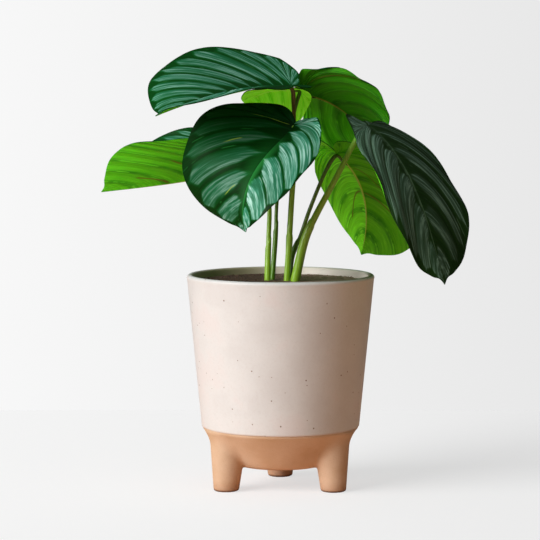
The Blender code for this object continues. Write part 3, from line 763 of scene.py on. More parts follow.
def blade_mesh(leaf):
    """The closed blade: upper face, lower face with the midrib, and a thin rim."""
    sheet = blade_sheet(leaf)
    place = sheet.verts.layers.float_vector["vein"]
    shares = np.linspace(0, 1, RIB_STEPS)
    line, _, up = midrib_frame(leaf, shares)
    mesh = bmesh.new()
    mark = mesh.verts.layers.float_vector.new("vein")
    upper, lower = [], []
    for vert in sheet.verts:
        away = np.linalg.norm(line - np.array(vert.co) / MM, axis=1)
        nearest = away.argmin()
        thinning = (1 - shares[nearest])**RIB_FADE
        rib = RIB_DEPTH * thinning * math.exp(-(away[nearest] / RIB_HALF_WIDTH)**2)
        groove = GROOVE_DEPTH * thinning * math.exp(-(away[nearest] / GROOVE_HALF_WIDTH)**2)
        half = vert.normal * BLADE_THICK / 2 * MM
        hang = Vector(up[nearest]) * MM
        top = mesh.verts.new(vert.co + half - hang * groove)
        bottom = mesh.verts.new(vert.co - half - hang * rib)
        top[mark] = vert[place]
        bottom[mark] = vert[place]
        upper.append(top)
        lower.append(bottom)
    for face in sheet.faces:
        index = [v.index for v in face.verts]
        mesh.faces.new([upper[i] for i in index]).material_index = 0
        mesh.faces.new([lower[i] for i in reversed(index)]).material_index = 1
    for edge in sheet.edges:
        if edge.is_boundary:
            loop = edge.link_loops[0]
            first, second = loop.vert.index, loop.link_loop_next.vert.index
            mesh.faces.new((upper[second], upper[first], lower[first],
                            lower[second])).material_index = 0
    sheet.free()
    return mesh


def blade_piece(leaf):
    """A leaf's blade, with its two finishes."""
    finishes = [upper_finish(leaf.name + "_upper", leaf.bands, **UPPER[leaf.upper]),
                lower_finish(leaf.name + "_lower", leaf.bands, **LOWER[leaf.lower])]
    return mesh_piece(leaf.name + "_blade", blade_mesh(leaf), finishes)


# ---------------------------------------------------------------- pieces

SHARP_EDGE = 50.0               # an edge turned by more than this is shaded as an edge


def mesh_piece(name, mesh, finishes):
    """A piece from mesh code's mesh, which it frees."""
    data = bpy.data.meshes.new(name)
    mesh.to_mesh(data)
    mesh.free()
    return data_piece(name, data, finishes)


def data_piece(name, data, finishes, sharp=SHARP_EDGE):
    """A piece at the origin from finished mesh data."""
    data.name = name
    for finish in finishes:
        data.materials.append(finish)
    data.shade_smooth()
    data.set_sharp_from_angle(angle=math.radians(sharp))
    item = bpy.data.objects.new(name, data)
    bpy.context.scene.collection.objects.link(item)
    return item


def grown(name, data, tree, finish, **sizes):
    """The mesh that a node tree grows from data, with the tree's named inputs set."""
    ground = bpy.data.objects.new(name, data)
    bpy.context.scene.collection.objects.link(ground)
    modifier = ground.modifiers.new("Grow", "NODES")
    modifier.node_group = tree
    settings = {**sizes, "Finish": finish}
    for socket in tree.interface.items_tree:
        if socket.in_out == "INPUT" and socket.name in settings:
            modifier[socket.identifier] = settings[socket.name]
    evaluated = ground.evaluated_get(bpy.context.evaluated_depsgraph_get())
    result = bpy.data.meshes.new_from_object(evaluated)
    ground.modifiers.clear()
    bpy.data.objects.remove(ground)
    return result


def growing_tree(name, inputs):
    """A geometry tree with a Geometry input, named inputs and a Finish; returns net and input."""
    tree = bpy.data.node_groups.new(name, "GeometryNodeTree")
    tree.interface.new_socket("Geometry", in_out="INPUT", socket_type="NodeSocketGeometry")
    for label, kind in {**inputs, "Finish": "Material"}.items():
        tree.interface.new_socket(label, in_out="INPUT", socket_type="NodeSocket" + kind)
    tree.interface.new_socket("Geometry", in_out="OUTPUT", socket_type="NodeSocketGeometry")
    net = Net(tree)
    return net, net.node("NodeGroupInput")


def close_tree(net, entry, shape):
    """Ends a growing tree: the shape in one mesh, with the finish on it."""
    whole = net.node("GeometryNodeRealizeInstances", None, {0: shape})
    painted = net.node("GeometryNodeSetMaterial", None,
                       {"Geometry": whole, "Material": entry.part("Finish")})
    net.node("NodeGroupOutput", None, {0: painted})
    return net.tree


# ---------------------------------------------------------------- stalks

def stalk_tree():
    """Sweeps a round stalk along a line whose points carry a radius, and wraps its sheath on."""
    net, entry = growing_tree("Stalk", {
        "Sides": "Int", "Sheath Top": "Float", "Sheath Facing": "Vector",
        "Sheath Slant": "Float", "Sheath Thickness": "Float", "Sheath Lip": "Float"})
    line = net.node("GeometryNodeMeshToCurve", None, {"Mesh": entry.part("Geometry")})
    radius = net.node("GeometryNodeInputNamedAttribute", {"data_type": "FLOAT"},
                      {"Name": "radius_here"})
    ring = net.node("GeometryNodeCurvePrimitiveCircle", None,
                    {"Resolution": entry.part("Sides"), "Radius": 1.0})
    tube = net.node("GeometryNodeCurveToMesh", None,
                    {"Curve": line, "Profile Curve": ring, "Scale": radius, "Fill Caps": True})
    normal = net.node("GeometryNodeInputNormal")
    facing = net.node("ShaderNodeVectorMath", {"operation": "DOT_PRODUCT"},
                      {0: normal, 1: entry.part("Sheath Facing")}, output="Value")
    height = net.node("ShaderNodeSeparateXYZ", None,
                      {0: net.node("GeometryNodeInputPosition")}).part(2)
    below_end = entry.part("Sheath Top") + facing * entry.part("Sheath Slant") - height
    cover = (below_end / entry.part("Sheath Lip")).step(0.0, 1.0)
    seam = facing.step(*SEAM_EDGE, 1.0, SHEATH_SEAM)
    push = net.node("ShaderNodeVectorMath", {"operation": "SCALE"},
                    {0: normal, "Scale": cover * seam * entry.part("Sheath Thickness")})
    tube = net.node("GeometryNodeSetPosition", None, {"Geometry": tube, "Offset": push})
    return close_tree(net, entry, tube)


def stalk_line(leaf):
    """The stalk's middle line and its radius: from in the soil, by its way points, to the midrib."""
    line, _, up = midrib_frame(leaf, np.array([0.0, 0.5, 1.0]) * JOINT_SHARE)
    under = np.array([share * leaf.stalk[1] + extra for share, extra in UNDER_MIDRIB])[:, None]
    x, y = leaf.root
    points = [(x, y, SOIL_Z + ROOT_STRAIGHT), *leaf.way, *(line - up * under)]
    route = even_curve(points, np.linspace(0, 1, STALK_STEPS), (1.0, 1.0, 1.0))
    path = np.vstack([[(x, y, SOIL_Z - ROOT_DEPTH), (x, y, SOIL_Z - ROOT_STRAIGHT)], route])
    left = np.cumsum(np.linalg.norm(np.diff(path[::-1], axis=0), axis=1))[::-1]
    left = np.append(left, 0.0)
    share = np.minimum(1.0, left / left[2])
    radius = leaf.stalk[1] + (leaf.stalk[0] - leaf.stalk[1]) * share
    joint = leaf.length * JOINT_SHARE
    swell = (left - joint - PULVINUS_LENGTH / 2) / (PULVINUS_LENGTH / 2)
    radius = radius * (1 + (PULVINUS_SWELL - 1) * np.exp(-swell**2))
    radius = radius * np.where(left < joint, JOINT_TAPER + (1 - JOINT_TAPER) * left / joint, 1.0)
    return path, radius


def stalk_piece(leaf, tree):
    """A leaf's stalk with its sheath, swept along its line."""
    path, radius = stalk_line(leaf)
    data = bpy.data.meshes.new(leaf.name + "_line")
    data.from_pydata([tuple(p * MM) for p in path], [(i, i + 1) for i in range(len(path) - 1)], [])
    data.attributes.new("radius_here", "FLOAT", "POINT").data.foreach_set("value", radius * MM)
    finish = stem_finish(leaf.name + "_stalk", **STEM[leaf.stem])
    top, facing = leaf.sheath
    facing = math.radians(facing)
    swept = grown(leaf.name + "_line", data, tree, finish, **{
        "Sides": STALK_SIDES, "Sheath Top": top * MM,
        "Sheath Facing": (math.cos(facing), math.sin(facing), 0.0),
        "Sheath Slant": SHEATH_SLANT * MM, "Sheath Thickness": SHEATH_THICK * MM,
        "Sheath Lip": SHEATH_LIP * MM})
    return data_piece(leaf.name + "_stalk", swept, [])


# ---------------------------------------------------------------- pot

def arc(centre, radius, start, end, steps):
    """(radius, z) points round a centre, from one angle to another."""
    angles = np.radians(np.linspace(start, end, steps + 1))
    return [(centre[0] + radius * math.cos(a), centre[1] + radius * math.sin(a)) for a in angles]


def wall_radius(z):
    """The glazed wall's outside radius at a height."""
    share = (z - GLAZE_Z) / (RIM_Z - GLAZE_Z)
    return GLAZE_RADIUS + (RIM_RADIUS - GLAZE_RADIUS) * share


def bowl_curve(inset):
    """The bare bowl below the glaze, moved in by a wall's thickness for the inside."""
    rise = BOWL_INSET * inset
    moved = [(r - rise, z + rise) for r, z in BOWL_OUTLINE]
    moved[0] = (BOWL_OUTLINE[0][0] - rise, BOWL_Z + inset)
    curve = even_curve(moved, np.linspace(0, 1, BOWL_STEPS), (1.0, 1.0))
    return [(r, max(z, BOWL_Z + inset)) for r, z in curve]


def turned(profile, sides, closed):
    """A mesh turned round Z from (radius, z) points; a closed profile makes a ring."""
    mesh = bmesh.new()
    turns = [2 * math.pi * k / sides for k in range(sides)]
    rings = []
    for r, z in profile:
        if r == 0:
            pole = mesh.verts.new((0, 0, z * MM))
            rings.append([pole] * sides)
        else:
            rings.append([mesh.verts.new((r * math.cos(a) * MM, r * math.sin(a) * MM, z * MM))
                          for a in turns])
    pairs = list(zip(rings, rings[1:]))
    if closed:
        pairs.append((rings[-1], rings[0]))
    for low, high in pairs:
        for k in range(sides):
            n = (k + 1) % sides
            corners = [low[k], low[n], high[n], high[k]]
            corners = [c for i, c in enumerate(corners) if c not in corners[:i]]
            mesh.faces.new(corners)
    bmesh.ops.recalc_face_normals(mesh, faces=mesh.faces)
    return mesh


def glazed_wall_mesh():
    """The glazed ring: outer wall, rounded lip, inner wall, and the rolled lower edge."""
    lip_out = (RIM_RADIUS - LIP_ROUND, RIM_Z - LIP_ROUND)
    lip_in = (RIM_RADIUS - WALL + LIP_ROUND, RIM_Z - LIP_ROUND)
    roll = (wall_radius(GLAZE_Z) - GLAZE_ROLL, GLAZE_Z + GLAZE_ROLL)
    first, last = WALL_ENDS
    heights = np.linspace(GLAZE_Z + first, RIM_Z - LIP_ROUND - last, WALL_STEPS)
    neck, closed_z = NECK_RADIUS + NECK_GAP, NECK_TOP + NECK_COVER
    outer = [(neck, GLAZE_Z + GLAZE_TUCK), *arc(roll, GLAZE_ROLL, ROLL_START, 0, ROLL_STEPS),
             *[(wall_radius(z), z) for z in heights],
             *arc(lip_out, LIP_ROUND, 0, 90, LIP_STEPS)]
    inner = [*arc(lip_in, LIP_ROUND, 90, 180, LIP_STEPS),
             *[(wall_radius(z) - WALL, z) for z in heights[::-INNER_EVERY]],
             (wall_radius(NECK_TOP) - WALL, closed_z), (neck, closed_z)]
    mesh = turned(outer + inner, POT_SIDES, closed=True)
    for vert in mesh.verts:
        above = vert.co.z / MM - GLAZE_Z
        if above < WANDER_HEIGHT:
            turn = math.atan2(vert.co.y, vert.co.x)
            wander = sum(high * math.sin(waves * turn + phase) for high, waves, phase in WANDERS)
            vert.co.z += GLAZE_WANDER * wander / 2 * MM * (1 - above / WANDER_HEIGHT)
    return mesh


def outline_distance(r, z, outline):
    """Signed distance from (r, z) to a closed outline, negative inside."""
    nearest = np.full(np.shape(r), np.inf)
    inside = np.zeros(np.shape(r), bool)
    for (r0, z0), (r1, z1) in zip(outline, outline[1:] + outline[:1]):
        run, rise = r1 - r0, z1 - z0
        share = np.clip(((r - r0) * run + (z - z0) * rise) / (run**2 + rise**2), 0, 1)
        nearest = np.minimum(nearest, (r - r0 - run * share)**2 + (z - z0 - rise * share)**2)
        if rise:
            crossed = ((z0 <= z) != (z1 <= z)) & (r < r0 + run * (z - z0) / rise)
            inside ^= crossed
    return np.where(inside, -1, 1) * np.sqrt(nearest)


def soft_union(first, second, fillet):
    """The smaller of two distances, rounded off where they are alike."""
    meet = np.maximum(fillet - abs(first - second), 0) / fillet
    return np.minimum(first, second) - meet**2 * fillet / 4


def bare_base_distance(points):
    """Signed distance from the bare clay: the bowl with three soft legs, hollow inside."""
    x, y, z = points[..., 0], points[..., 1], points[..., 2]
    r = np.hypot(x, y)
    behind = -30.0              # the outlines close on the far side of the pot's axis
    bowl = [(behind, BOWL_Z), *bowl_curve(0), (NECK_RADIUS, GLAZE_Z), (NECK_RADIUS, NECK_TOP),
            (behind, NECK_TOP)]
    solid = outline_distance(r, z, bowl)
    climb = np.clip((z - BOWL_Z) / (LEG_TOP_Z - BOWL_Z), 0, 1)
    fillet = LEG_FILLET_LOW + (LEG_FILLET_HIGH - LEG_FILLET_LOW) * climb
    for azimuth in map(math.radians, LEG_AZIMUTHS):
        reach = LEG_CIRCLE - LEG_LEAN * z / LEG_TOP_Z
        away = np.hypot(x - reach * math.cos(azimuth), y - reach * math.sin(azimuth))
        grown_radius = LEG_FOOT_RADIUS + (LEG_TOP_RADIUS - LEG_FOOT_RADIUS) * z / LEG_TOP_Z
        beside = away - (grown_radius - LEG_FOOT_ROUND)
        below = LEG_FOOT_ROUND - z
        foot = np.hypot(np.maximum(beside, 0), np.maximum(below, 0)) - LEG_FOOT_ROUND
        leg = np.where((beside < 0) & (below < 0), np.maximum(beside, below) - LEG_FOOT_ROUND, foot)
        leg = np.maximum(leg, z - LEG_TOP_Z)
        solid = soft_union(solid, leg, fillet)
    solid = np.maximum(solid, z - NECK_TOP)
    mouth, over = wall_radius(NECK_TOP) - WALL, NECK_TOP + 20
    hollow = [(behind, BOWL_Z + WALL), *bowl_curve(WALL), (mouth, NECK_TOP), (mouth, over),
              (behind, over)]
    return np.maximum(solid, -outline_distance(r, z, hollow))


def cell_points(grid, value):
    """A point in each grid cell that the surface goes through, and the points' numbers."""
    shape = np.array(value.shape) - 1
    total = np.zeros((*shape, 3))
    count = np.zeros(shape)
    window = [slice(0, -1), slice(1, None)]
    corners = [(i, j, k) for i in (0, 1) for j in (0, 1) for k in (0, 1)]
    for first in corners:
        for axis in range(3):
            if first[axis]:
                continue
            second = tuple(1 if n == axis else c for n, c in enumerate(first))
            a = value[tuple(window[c] for c in first)]
            b = value[tuple(window[c] for c in second)]
            mixed = (a < 0) != (b < 0)
            share = np.where(mixed, a / np.where(a == b, 1, a - b), 0)[..., None]
            place = grid[tuple(window[c] for c in first)]
            other = grid[tuple(window[c] for c in second)]
            total += np.where(mixed[..., None], place + share * (other - place), 0)
            count += mixed
    used = count > 0
    number = np.full(shape, -1)
    number[used] = np.arange(used.sum())
    return total[used] / count[used][:, None], number


def settled(points, distance):
    """The points moved along the distance's slope until they lie on the surface."""
    for _ in range(SETTLE_ROUNDS):
        here = distance(points)
        slope = np.stack([distance(points + e) - distance(points - e)
                          for e in np.eye(3) * SLOPE_REACH], -1) / (2 * SLOPE_REACH)
        steepness = np.maximum((slope**2).sum(-1), LEAST_SLOPE)
        points = points - (here / steepness)[:, None] * slope
    return points


def cell_quads(value, number):
    """A quad for each grid line that crosses the surface, between the four cells round it."""
    quads = []
    for axis in range(3):
        u, w = (axis + 1) % 3, (axis + 2) % 3
        a = value[tuple(slice(0, -1) if n == axis else slice(1, -1) for n in range(3))]
        b = value[tuple(slice(1, None) if n == axis else slice(1, -1) for n in range(3))]
        for cell in np.argwhere((a < 0) != (b < 0)):
            quad = []
            for du, dw in ((0, 0), (1, 0), (1, 1), (0, 1)):
                index = cell.copy()
                index[u] += du
                index[w] += dw
                quad.append(int(number[tuple(index)]))
            quads.append(quad if a[tuple(cell)] < 0 else quad[::-1])
    return quads


def surface_mesh(distance, low, high, step):
    """A closed quad mesh where distance(points) is zero, from a grid of cells of one size."""
    axes = [np.arange(lo, hi + step, step) for lo, hi in zip(low, high)]
    grid = np.stack(np.meshgrid(*axes, indexing="ij"), -1)
    value = distance(grid)
    points, number = cell_points(grid, value)
    return settled(points, distance), cell_quads(value, number)


def bare_base_mesh():
    """The bare clay bowl with its three legs, as one closed surface."""
    reach = LEG_CIRCLE + LEG_TOP_RADIUS + CLAY_MARGIN
    edge = CLAY_STEP * 2
    points, faces = surface_mesh(bare_base_distance, (-reach, -reach, -edge),
                                 (reach, reach, NECK_TOP + edge), CLAY_STEP)
    mesh = bmesh.new()
    verts = [mesh.verts.new(p * MM) for p in points]
    for quad in faces:
        mesh.faces.new([verts[i] for i in quad])
    return mesh


# ---------------------------------------------------------------- pot finishes

GLAZE_CLOUD = colour(203, 203, 202)
GLAZE_CREAM = colour(212, 214, 213)
GLAZE_GRAIN = colour(192, 188, 184)
GLAZE_ROSE = colour(206, 192, 190)
GLAZE_SPECK = colour(112, 78, 58)
GLAZE_THIN = colour(190, 160, 138)      # the clay through the thin glaze at its lower edge
INNER_PAINTED_SHADE = colour(150, 134, 92)       # painted shade on the inner wall's left and painted light on its right
INNER_PAINTED_LIGHT = colour(240, 228, 214)
LIP_PAINTED_SHADE = colour(84, 76, 36)
CELLS = 150.0                           # cells in a metre, of which some hold a speck:
SPECKED = (0.62, 0.64)                  # those whose chance is above this
SPECK_SIZE = (0.06, 0.08)               # its radius in cells, the least and what chance adds
SPECK_EDGE = 0.03
INNER_DEPTH = (4.0, 5.5)                # the inner wall begins this far inside the outer one
INNER_LIGHT_TURN = 40.0                       # and its painted shade turns into painted light over this much either side
LIP_BELOW_TOP = (2.2, 1.2)              # the painted shade line runs round the lip at this height
LIP_FROM_EDGE = (1.8, 0.8)              # and this far in,
LIP_RIGHT = (10.0, 70.0)                # growing stronger to the right
LIP_BACK = (0.0, 30.0)                  # and fading to the back
THIN_HEIGHT = (0.4, 2.2)                # the glaze is thin up to here above its edge

CLAY_CLOUD = colour(194, 161, 129)
CLAY_PALE = colour(204, 175, 147)
CLAY_GRAIN = colour(166, 128, 100)
CLAY_FOOT_SHADE = colour(150, 108, 78)
CLAY_SOLE_SHADOW = colour(74, 46, 30)
FOOT_SHADE_HEIGHT = (0.0, 14.0)               # the legs' painted shade fades out over these heights
SOLE_SHADOW_HEIGHT = (0.6, 3.2)                # and a painted contact shadow darkens them below these


def specks(net, place):
    """Mask of pin specks: one in some of the cells, no two of a size."""
    cell = net.node("ShaderNodeTexVoronoi", {"feature": "F1"},
                    {"Vector": place, "Scale": CELLS, "Randomness": 1.0}, output="Distance")
    chance = net.node("ShaderNodeSeparateColor", None, {0: cell.part("Color")})
    least, more = SPECK_SIZE
    size = chance.part(1) * more + least
    return (size - cell).step(0.0, SPECK_EDGE) * chance.part(0).step(*SPECKED)


def glaze_finish():
    """Satin glaze: warm cream with faint clouds and pin specks, painted shade and light on the inner
    wall, and a painted shade line on the lip.
    """
    def paint(net):
        place, x, y, z = object_place(net)
        radius = (x * x + y * y).math("SQRT")
        clouds = net.noise(place, scale=22.0, detail=4.0, rough=0.55)
        fine = net.noise(place, scale=420.0, detail=3.0, rough=0.6)
        speck = specks(net, place)
        face = net.mix(clouds.step(0.3, 0.72), GLAZE_CLOUD, GLAZE_CREAM)
        face = net.mix(fine.step(0.45, 0.75) * 0.25, face, GLAZE_GRAIN)
        face = net.mix(clouds.step(0.48, 0.66) * 0.35, face, GLAZE_ROSE)
        face = net.mix(speck * 0.85, face, GLAZE_SPECK)

        outer_radius = z.step_mm(GLAZE_Z, RIM_Z, GLAZE_RADIUS * MM, RIM_RADIUS * MM)
        inside = (outer_radius - radius).step_mm(*INNER_DEPTH)
        # painted light and shade: the inner wall is dark on the left, in shade, and pale on the right,
        # where the light falls
        inner = net.mix(x.step_mm(-INNER_LIGHT_TURN, INNER_LIGHT_TURN), INNER_PAINTED_SHADE, INNER_PAINTED_LIGHT)
        face = net.mix(inside * 0.8, face, inner)
        # painted shade: a dark olive line round the lip, stronger to the right and fading to the back
        top_from, top_to = (RIM_Z - below for below in LIP_BELOW_TOP)
        edge_from, edge_to = (RIM_RADIUS - within for within in LIP_FROM_EDGE)
        lip = (z.step_mm(top_from, top_to) * radius.step_mm(edge_from, edge_to, 1.0, 0.0)
               * x.step_mm(*LIP_RIGHT) * y.step_mm(*LIP_BACK, 1.0, 0.0))
        face = net.mix(lip * (0.6 + fine * 0.6), face, LIP_PAINTED_SHADE)
        thin_from, thin_to = (GLAZE_Z + above for above in THIN_HEIGHT)
        face = net.mix((1.0 - z.step_mm(thin_from, thin_to)) * 0.45, face, GLAZE_THIN)
        return {"Base Color": face,
                "Roughness": 0.12 * clouds + 0.40,
                "Specular IOR Level": 0.4,
                "Normal": bump(net, clouds * 0.6 + fine * 0.25 - speck, 0.25)}
    return material("pot_glaze", paint)


def clay_finish():
    """Bare terracotta: fine grain, faint turning lines, painted shade towards the feet and a painted
    contact shadow at the soles.
    """
    def paint(net):
        place, _, _, z = object_place(net)
        grain = net.noise(place, scale=900.0, detail=4.0, rough=0.65)
        clouds = net.noise(place, scale=34.0, detail=3.0, rough=0.55)
        squashed = net.node("ShaderNodeMapping", None, {"Vector": place, "Scale": (0.2, 0.2, 1.0)})
        lines = net.noise(squashed, scale=520.0)
        face = net.mix(clouds.step(0.3, 0.7), CLAY_CLOUD, CLAY_PALE)
        face = net.mix(grain.step(0.5, 0.8) * 0.4, face, CLAY_GRAIN)
        # painted shade low on the legs, and a painted contact shadow at the soles
        face = net.mix((1.0 - z.step_mm(*FOOT_SHADE_HEIGHT)) * 0.5, face, CLAY_FOOT_SHADE)
        face = net.mix((1.0 - z.step_mm(*SOLE_SHADOW_HEIGHT)) * 0.85, face, CLAY_SOLE_SHADOW)
        return {"Base Color": face,
                "Roughness": 0.1 * grain + 0.50,
                "Specular IOR Level": 0.5,
                "Normal": bump(net, grain * 0.7 + lines * 0.5, 0.18)}
    return material("pot_clay", paint)


# ---------------------------------------------------------------- soil

SOIL_DAMP = colour(44, 32, 24)
SOIL_LIGHT = colour(120, 94, 76)
SOIL_PAINTED_LIGHT = colour(196, 166, 148)
PAINTED_LIGHT_RIGHT = (-30.0, 60.0)       # painted light: the soil is painted paler and paler to the right, where the light falls
# Loose pieces on top: number in a square metre, size, length against width, and seed.
LOOSE_SOIL = {"soil_crumbs": (70000.0, 1.05, 1.0, 3), "soil_bark": (5000.0, 1.4, 1.8, 8)}
LOOSE_ROUGH = 0.8               # how far a crumb's surface is broken up
LOOSE_GRAIN = 900.0             # and how finely, in a metre
LOOSE_SHAPE = ((0.6, 0.5, 0.4), (1.2, 1.0, 0.9))    # a crumb's least and greatest proportions
LOOSE_SIZE = (0.35, 1.0)        # and its size, which is squared so that most are small
LOOSE_TURN = ((0.0, 0.0, 0.0), (6.28, 6.28, 6.28))  # it lies turned any way
CRUMB_EDGE = 10.0               # crumbs are broken, so their edges show
LEVEL_ENOUGH = 0.6              # they lie where the soil's normal points up by more than this


def soil_height(x, y):
    """The loose soil's ups and downs in millimetres at a place in millimetres."""
    layer = 3.7
    return SOIL_BUMP * noise.fractal(Vector((x / SOIL_LUMP, y / SOIL_LUMP, layer)), *SOIL_ROUGH)


def soil_mesh():
    """The soil: up the bowl and the wall with a gap, and over its loose top."""
    inset = WALL + GAP
    top_radius = wall_radius(SOIL_Z) - inset
    rings = np.linspace(0, top_radius, SOIL_RING_STEPS)[::-1]
    below = [(0, BOWL_Z + inset), *bowl_curve(inset)]
    wall = np.linspace(SOIL_WALL_Z, SOIL_Z - 2, SOIL_WALL_STEPS)
    profile = [*below, *[(wall_radius(z) - inset, z) for z in wall],
               *[(r, SOIL_Z + SOIL_MOUND * (1 - (r / top_radius)**2)) for r in rings[:-1]],
               (0, SOIL_Z + SOIL_MOUND)]
    mesh = turned(profile, SOIL_SIDES, closed=False)
    for vert in mesh.verts:
        if vert.co.z / MM > SOIL_Z - 1:
            x, y = vert.co.x / MM, vert.co.y / MM
            settle = min(1.0, (top_radius - math.hypot(x, y)) / SETTLE_WIDTH)
            vert.co.z += (soil_height(x, y) - SOIL_SETTLED * (1 - settle)) * MM
    return mesh


def soil_finish(name):
    """Damp potting mix, with painted light making it paler to the right."""
    def paint(net):
        place, x, _, _ = object_place(net)
        grain = net.noise(place, scale=700.0, detail=5.0, rough=0.7)
        lumps = net.noise(place, scale=150.0, detail=3.0, rough=0.6)
        face = net.mix(grain.step(0.38, 0.7), SOIL_DAMP, SOIL_LIGHT)
        face = net.mix(lumps.step(0.45, 0.7) * 0.5, face, SOIL_DAMP)
        # painted light: paler towards the right
        face = net.mix(x.step_mm(*PAINTED_LIGHT_RIGHT) * 0.6, face, SOIL_PAINTED_LIGHT)
        return {"Base Color": face,
                "Roughness": 0.92,
                "Specular IOR Level": 0.2,
                "Normal": bump(net, grain + lumps, 0.8)}
    return material(name, paint)


def random_vector(net, low, high, seed):
    """A vector for each point, between two corners."""
    return net.node("FunctionNodeRandomValue", {"data_type": "FLOAT_VECTOR"},
                    {"Min": low, "Max": high, "Seed": seed})


def crumb_tree():
    """Scatters small broken crumbs over the upward faces of the soil."""
    net, entry = growing_tree("Crumbs", {
        "Density": "Float", "Size": "Float", "Spread": "Float", "Length": "Float",
        "Seed": "Int"})
    seed = entry.part("Seed")
    normal = net.node("GeometryNodeInputNormal")
    upward = net.node("ShaderNodeSeparateXYZ", None, {0: normal}).part(2) > LEVEL_ENOUGH
    points = net.node("GeometryNodeDistributePointsOnFaces", {"distribute_method": "RANDOM"},
                      {"Mesh": entry.part("Geometry"), "Selection": upward,
                       "Density": entry.part("Density"), "Seed": seed})
    crumb = net.node("GeometryNodeMeshIcoSphere", None, {"Radius": 1.0, "Subdivisions": 1})
    turn = random_vector(net, *LOOSE_TURN, seed)
    shape = random_vector(net, *LOOSE_SHAPE, seed + 1.0)
    small, large = LOOSE_SIZE
    size = net.node("FunctionNodeRandomValue", {"data_type": "FLOAT"},
                    {"Min_001": small, "Max_001": large, "Seed": seed + 2.0}, output="Value_001")
    longer = net.vector(entry.part("Length"), 1.0, 1.0)
    shape = net.node("ShaderNodeVectorMath", {"operation": "MULTIPLY"}, {0: shape, 1: longer})
    scale = net.node("ShaderNodeVectorMath", {"operation": "SCALE"},
                     {0: shape, "Scale": size * size * entry.part("Size")})
    spots = net.node("GeometryNodeInstanceOnPoints", None,
                     {"Points": points, "Instance": crumb, "Rotation": turn, "Scale": scale})
    whole = net.node("GeometryNodeRealizeInstances", None, {0: spots})
    place = net.node("GeometryNodeInputPosition")
    rough = net.node("ShaderNodeTexNoise", None, {"Vector": place, "Scale": LOOSE_GRAIN},
                     output="Color")
    centred = net.node("ShaderNodeVectorMath", {"operation": "SUBTRACT"},
                       {0: rough, 1: (0.5, 0.5, 0.5)})
    push = net.node("ShaderNodeVectorMath", {"operation": "SCALE"},
                    {0: centred, "Scale": entry.part("Spread")})
    whole = net.node("GeometryNodeSetPosition", None, {"Geometry": whole, "Offset": push})
    return close_tree(net, entry, whole)


# ---------------------------------------------------------------- stage

def floor():
    """Pale floor; what it throws back at the plant is dimmer and warmer than it looks."""
    mesh = bmesh.new()
    wide, near, far = 5.0, -5.0, 0.53       # metres
    mesh.faces.new([mesh.verts.new(p) for p in
                    ((-wide, near, 0), (wide, near, 0), (wide, far, 0), (-wide, far, 0))])

    def paint(net):
        _, x, _, _ = object_place(net)
        camera_ray = net.node("ShaderNodeLightPath", output="Is Camera Ray")
        # painted light: the floor is painted darker to the right, and its glow lights it in the shade too
        seen = grey(net, x.step_mm(-FLOOR_FADE, FLOOR_FADE, 1.0, FLOOR_RIGHT))
        shaded = net.mix(1.0, seen, (FLOOR_SHADE,) * 3, blend="MULTIPLY")
        faint = tuple(BOUNCE_GLOW * c for c in FLOOR_BOUNCE)
        return {"Base Color": net.mix(camera_ray, FLOOR_BOUNCE, shaded),
                "Roughness": 1.0, "Specular IOR Level": 0.0,
                "Emission Color": net.mix(camera_ray, faint, seen), "Emission Strength": FLOOR_GLOW}
    mesh_piece("floor", mesh, [material("floor", paint)])


def backdrop():
    """A bright backdrop for the camera; for the plant, light from above and from behind."""
    world = bpy.data.worlds.new("studio")
    bpy.context.scene.world = world
    world.use_nodes = True
    world.node_tree.nodes.clear()
    net = Net(world.node_tree)
    direction = net.node("ShaderNodeTexCoord", output="Generated")
    parts = net.node("ShaderNodeSeparateXYZ", None, {0: direction})
    across, back, height = parts.part(0), parts.part(1), parts.part(2)
    tone = across.step(-BACKDROP_FADE, BACKDROP_FADE, BACKDROP_LEFT, BACKDROP_RIGHT)
    seen = net.node("ShaderNodeBackground", None, {"Color": grey(net, tone)})
    top = height.step(*TOP_FADE, 0.0, TOP_LIGHT)
    wall = back.step(*WALL_FADE, 0.0, WALL_LIGHT)
    fill = net.node("ShaderNodeBackground", None,
                    {"Color": grey(net, top + wall + EVERYWHERE_LIGHT)})
    camera_ray = net.node("ShaderNodeLightPath", output="Is Camera Ray")
    both = net.node("ShaderNodeMixShader", None, {0: camera_ray, 1: fill, 2: seen})
    net.node("ShaderNodeOutputWorld", None, {"Surface": both})


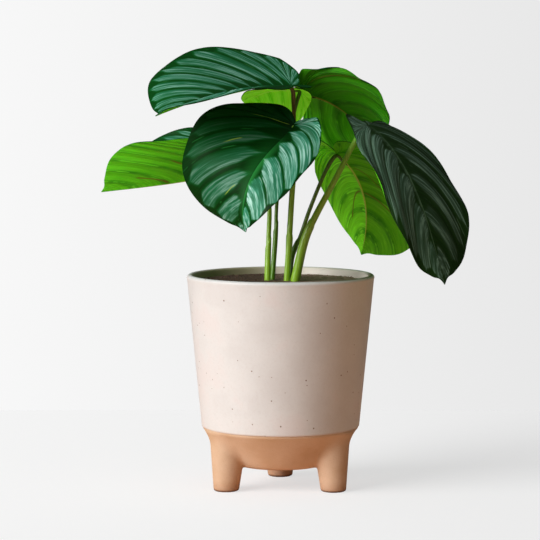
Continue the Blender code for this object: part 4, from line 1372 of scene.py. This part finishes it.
def key_light():
    """A low soft key from the left front."""
    key = bpy.data.lights.new("key", "SUN")
    key.energy = KEY_STRENGTH
    key.angle = math.radians(KEY_SPREAD)
    lamp = bpy.data.objects.new("key", key)
    turn, rise = math.radians(KEY_TURN), math.radians(KEY_RISE)
    toward = Vector((-math.sin(turn) * math.cos(rise), -math.cos(turn) * math.cos(rise),
                     math.sin(rise)))
    lamp.rotation_euler = toward.to_track_quat("Z", "Y").to_euler()
    bpy.context.scene.collection.objects.link(lamp)


def camera():
    """A long lens in front of the plant, looking a little down."""
    lens = bpy.data.cameras.new("camera")
    lens.sensor_width = 36.0
    lens.lens = CAMERA_LENS
    lens.clip_end = 50.0
    item = bpy.data.objects.new("camera", lens)
    item.location = CAMERA_PLACE
    item.rotation_euler = (math.radians(90 - CAMERA_DOWN), 0, 0)
    bpy.context.scene.collection.objects.link(item)
    bpy.context.scene.camera = item


# ---------------------------------------------------------------- assembly

def keep(piece, node):
    """Puts a piece in the place of a solid, on the one body."""
    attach(piece, "root")
    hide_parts(node)


def pot():
    """The glazed wall on its bare clay base."""
    keep(mesh_piece("pot_wall", glazed_wall_mesh(), [glaze_finish()]), "pot")
    keep(mesh_piece("pot_base", bare_base_mesh(), [clay_finish()]), "pot")


def soil():
    """The soil, with loose crumbs and bits of bark on it."""
    ground = mesh_piece("soil_fill", soil_mesh(), [soil_finish("soil")])
    keep(ground, "soil")
    tree = crumb_tree()
    finish = soil_finish("soil_crumbs")
    for name, (density, size, length, seed) in LOOSE_SOIL.items():
        data = grown(name, ground.data, tree, finish, **{
            "Density": density, "Size": size * MM, "Spread": LOOSE_ROUGH * MM, "Length": length,
            "Seed": seed})
        keep(data_piece(name, data, [], sharp=CRUMB_EDGE), "soil")


def leaves():
    """Each leaf's blade and stalk."""
    tree = stalk_tree()
    for leaf in LEAVES:
        keep(blade_piece(leaf), leaf.name)
        keep(stalk_piece(leaf, tree), leaf.name)


camera()
backdrop()
key_light()
floor()
bpy.context.scene.view_settings.view_transform = "Standard"
pot()
soil()
leaves()
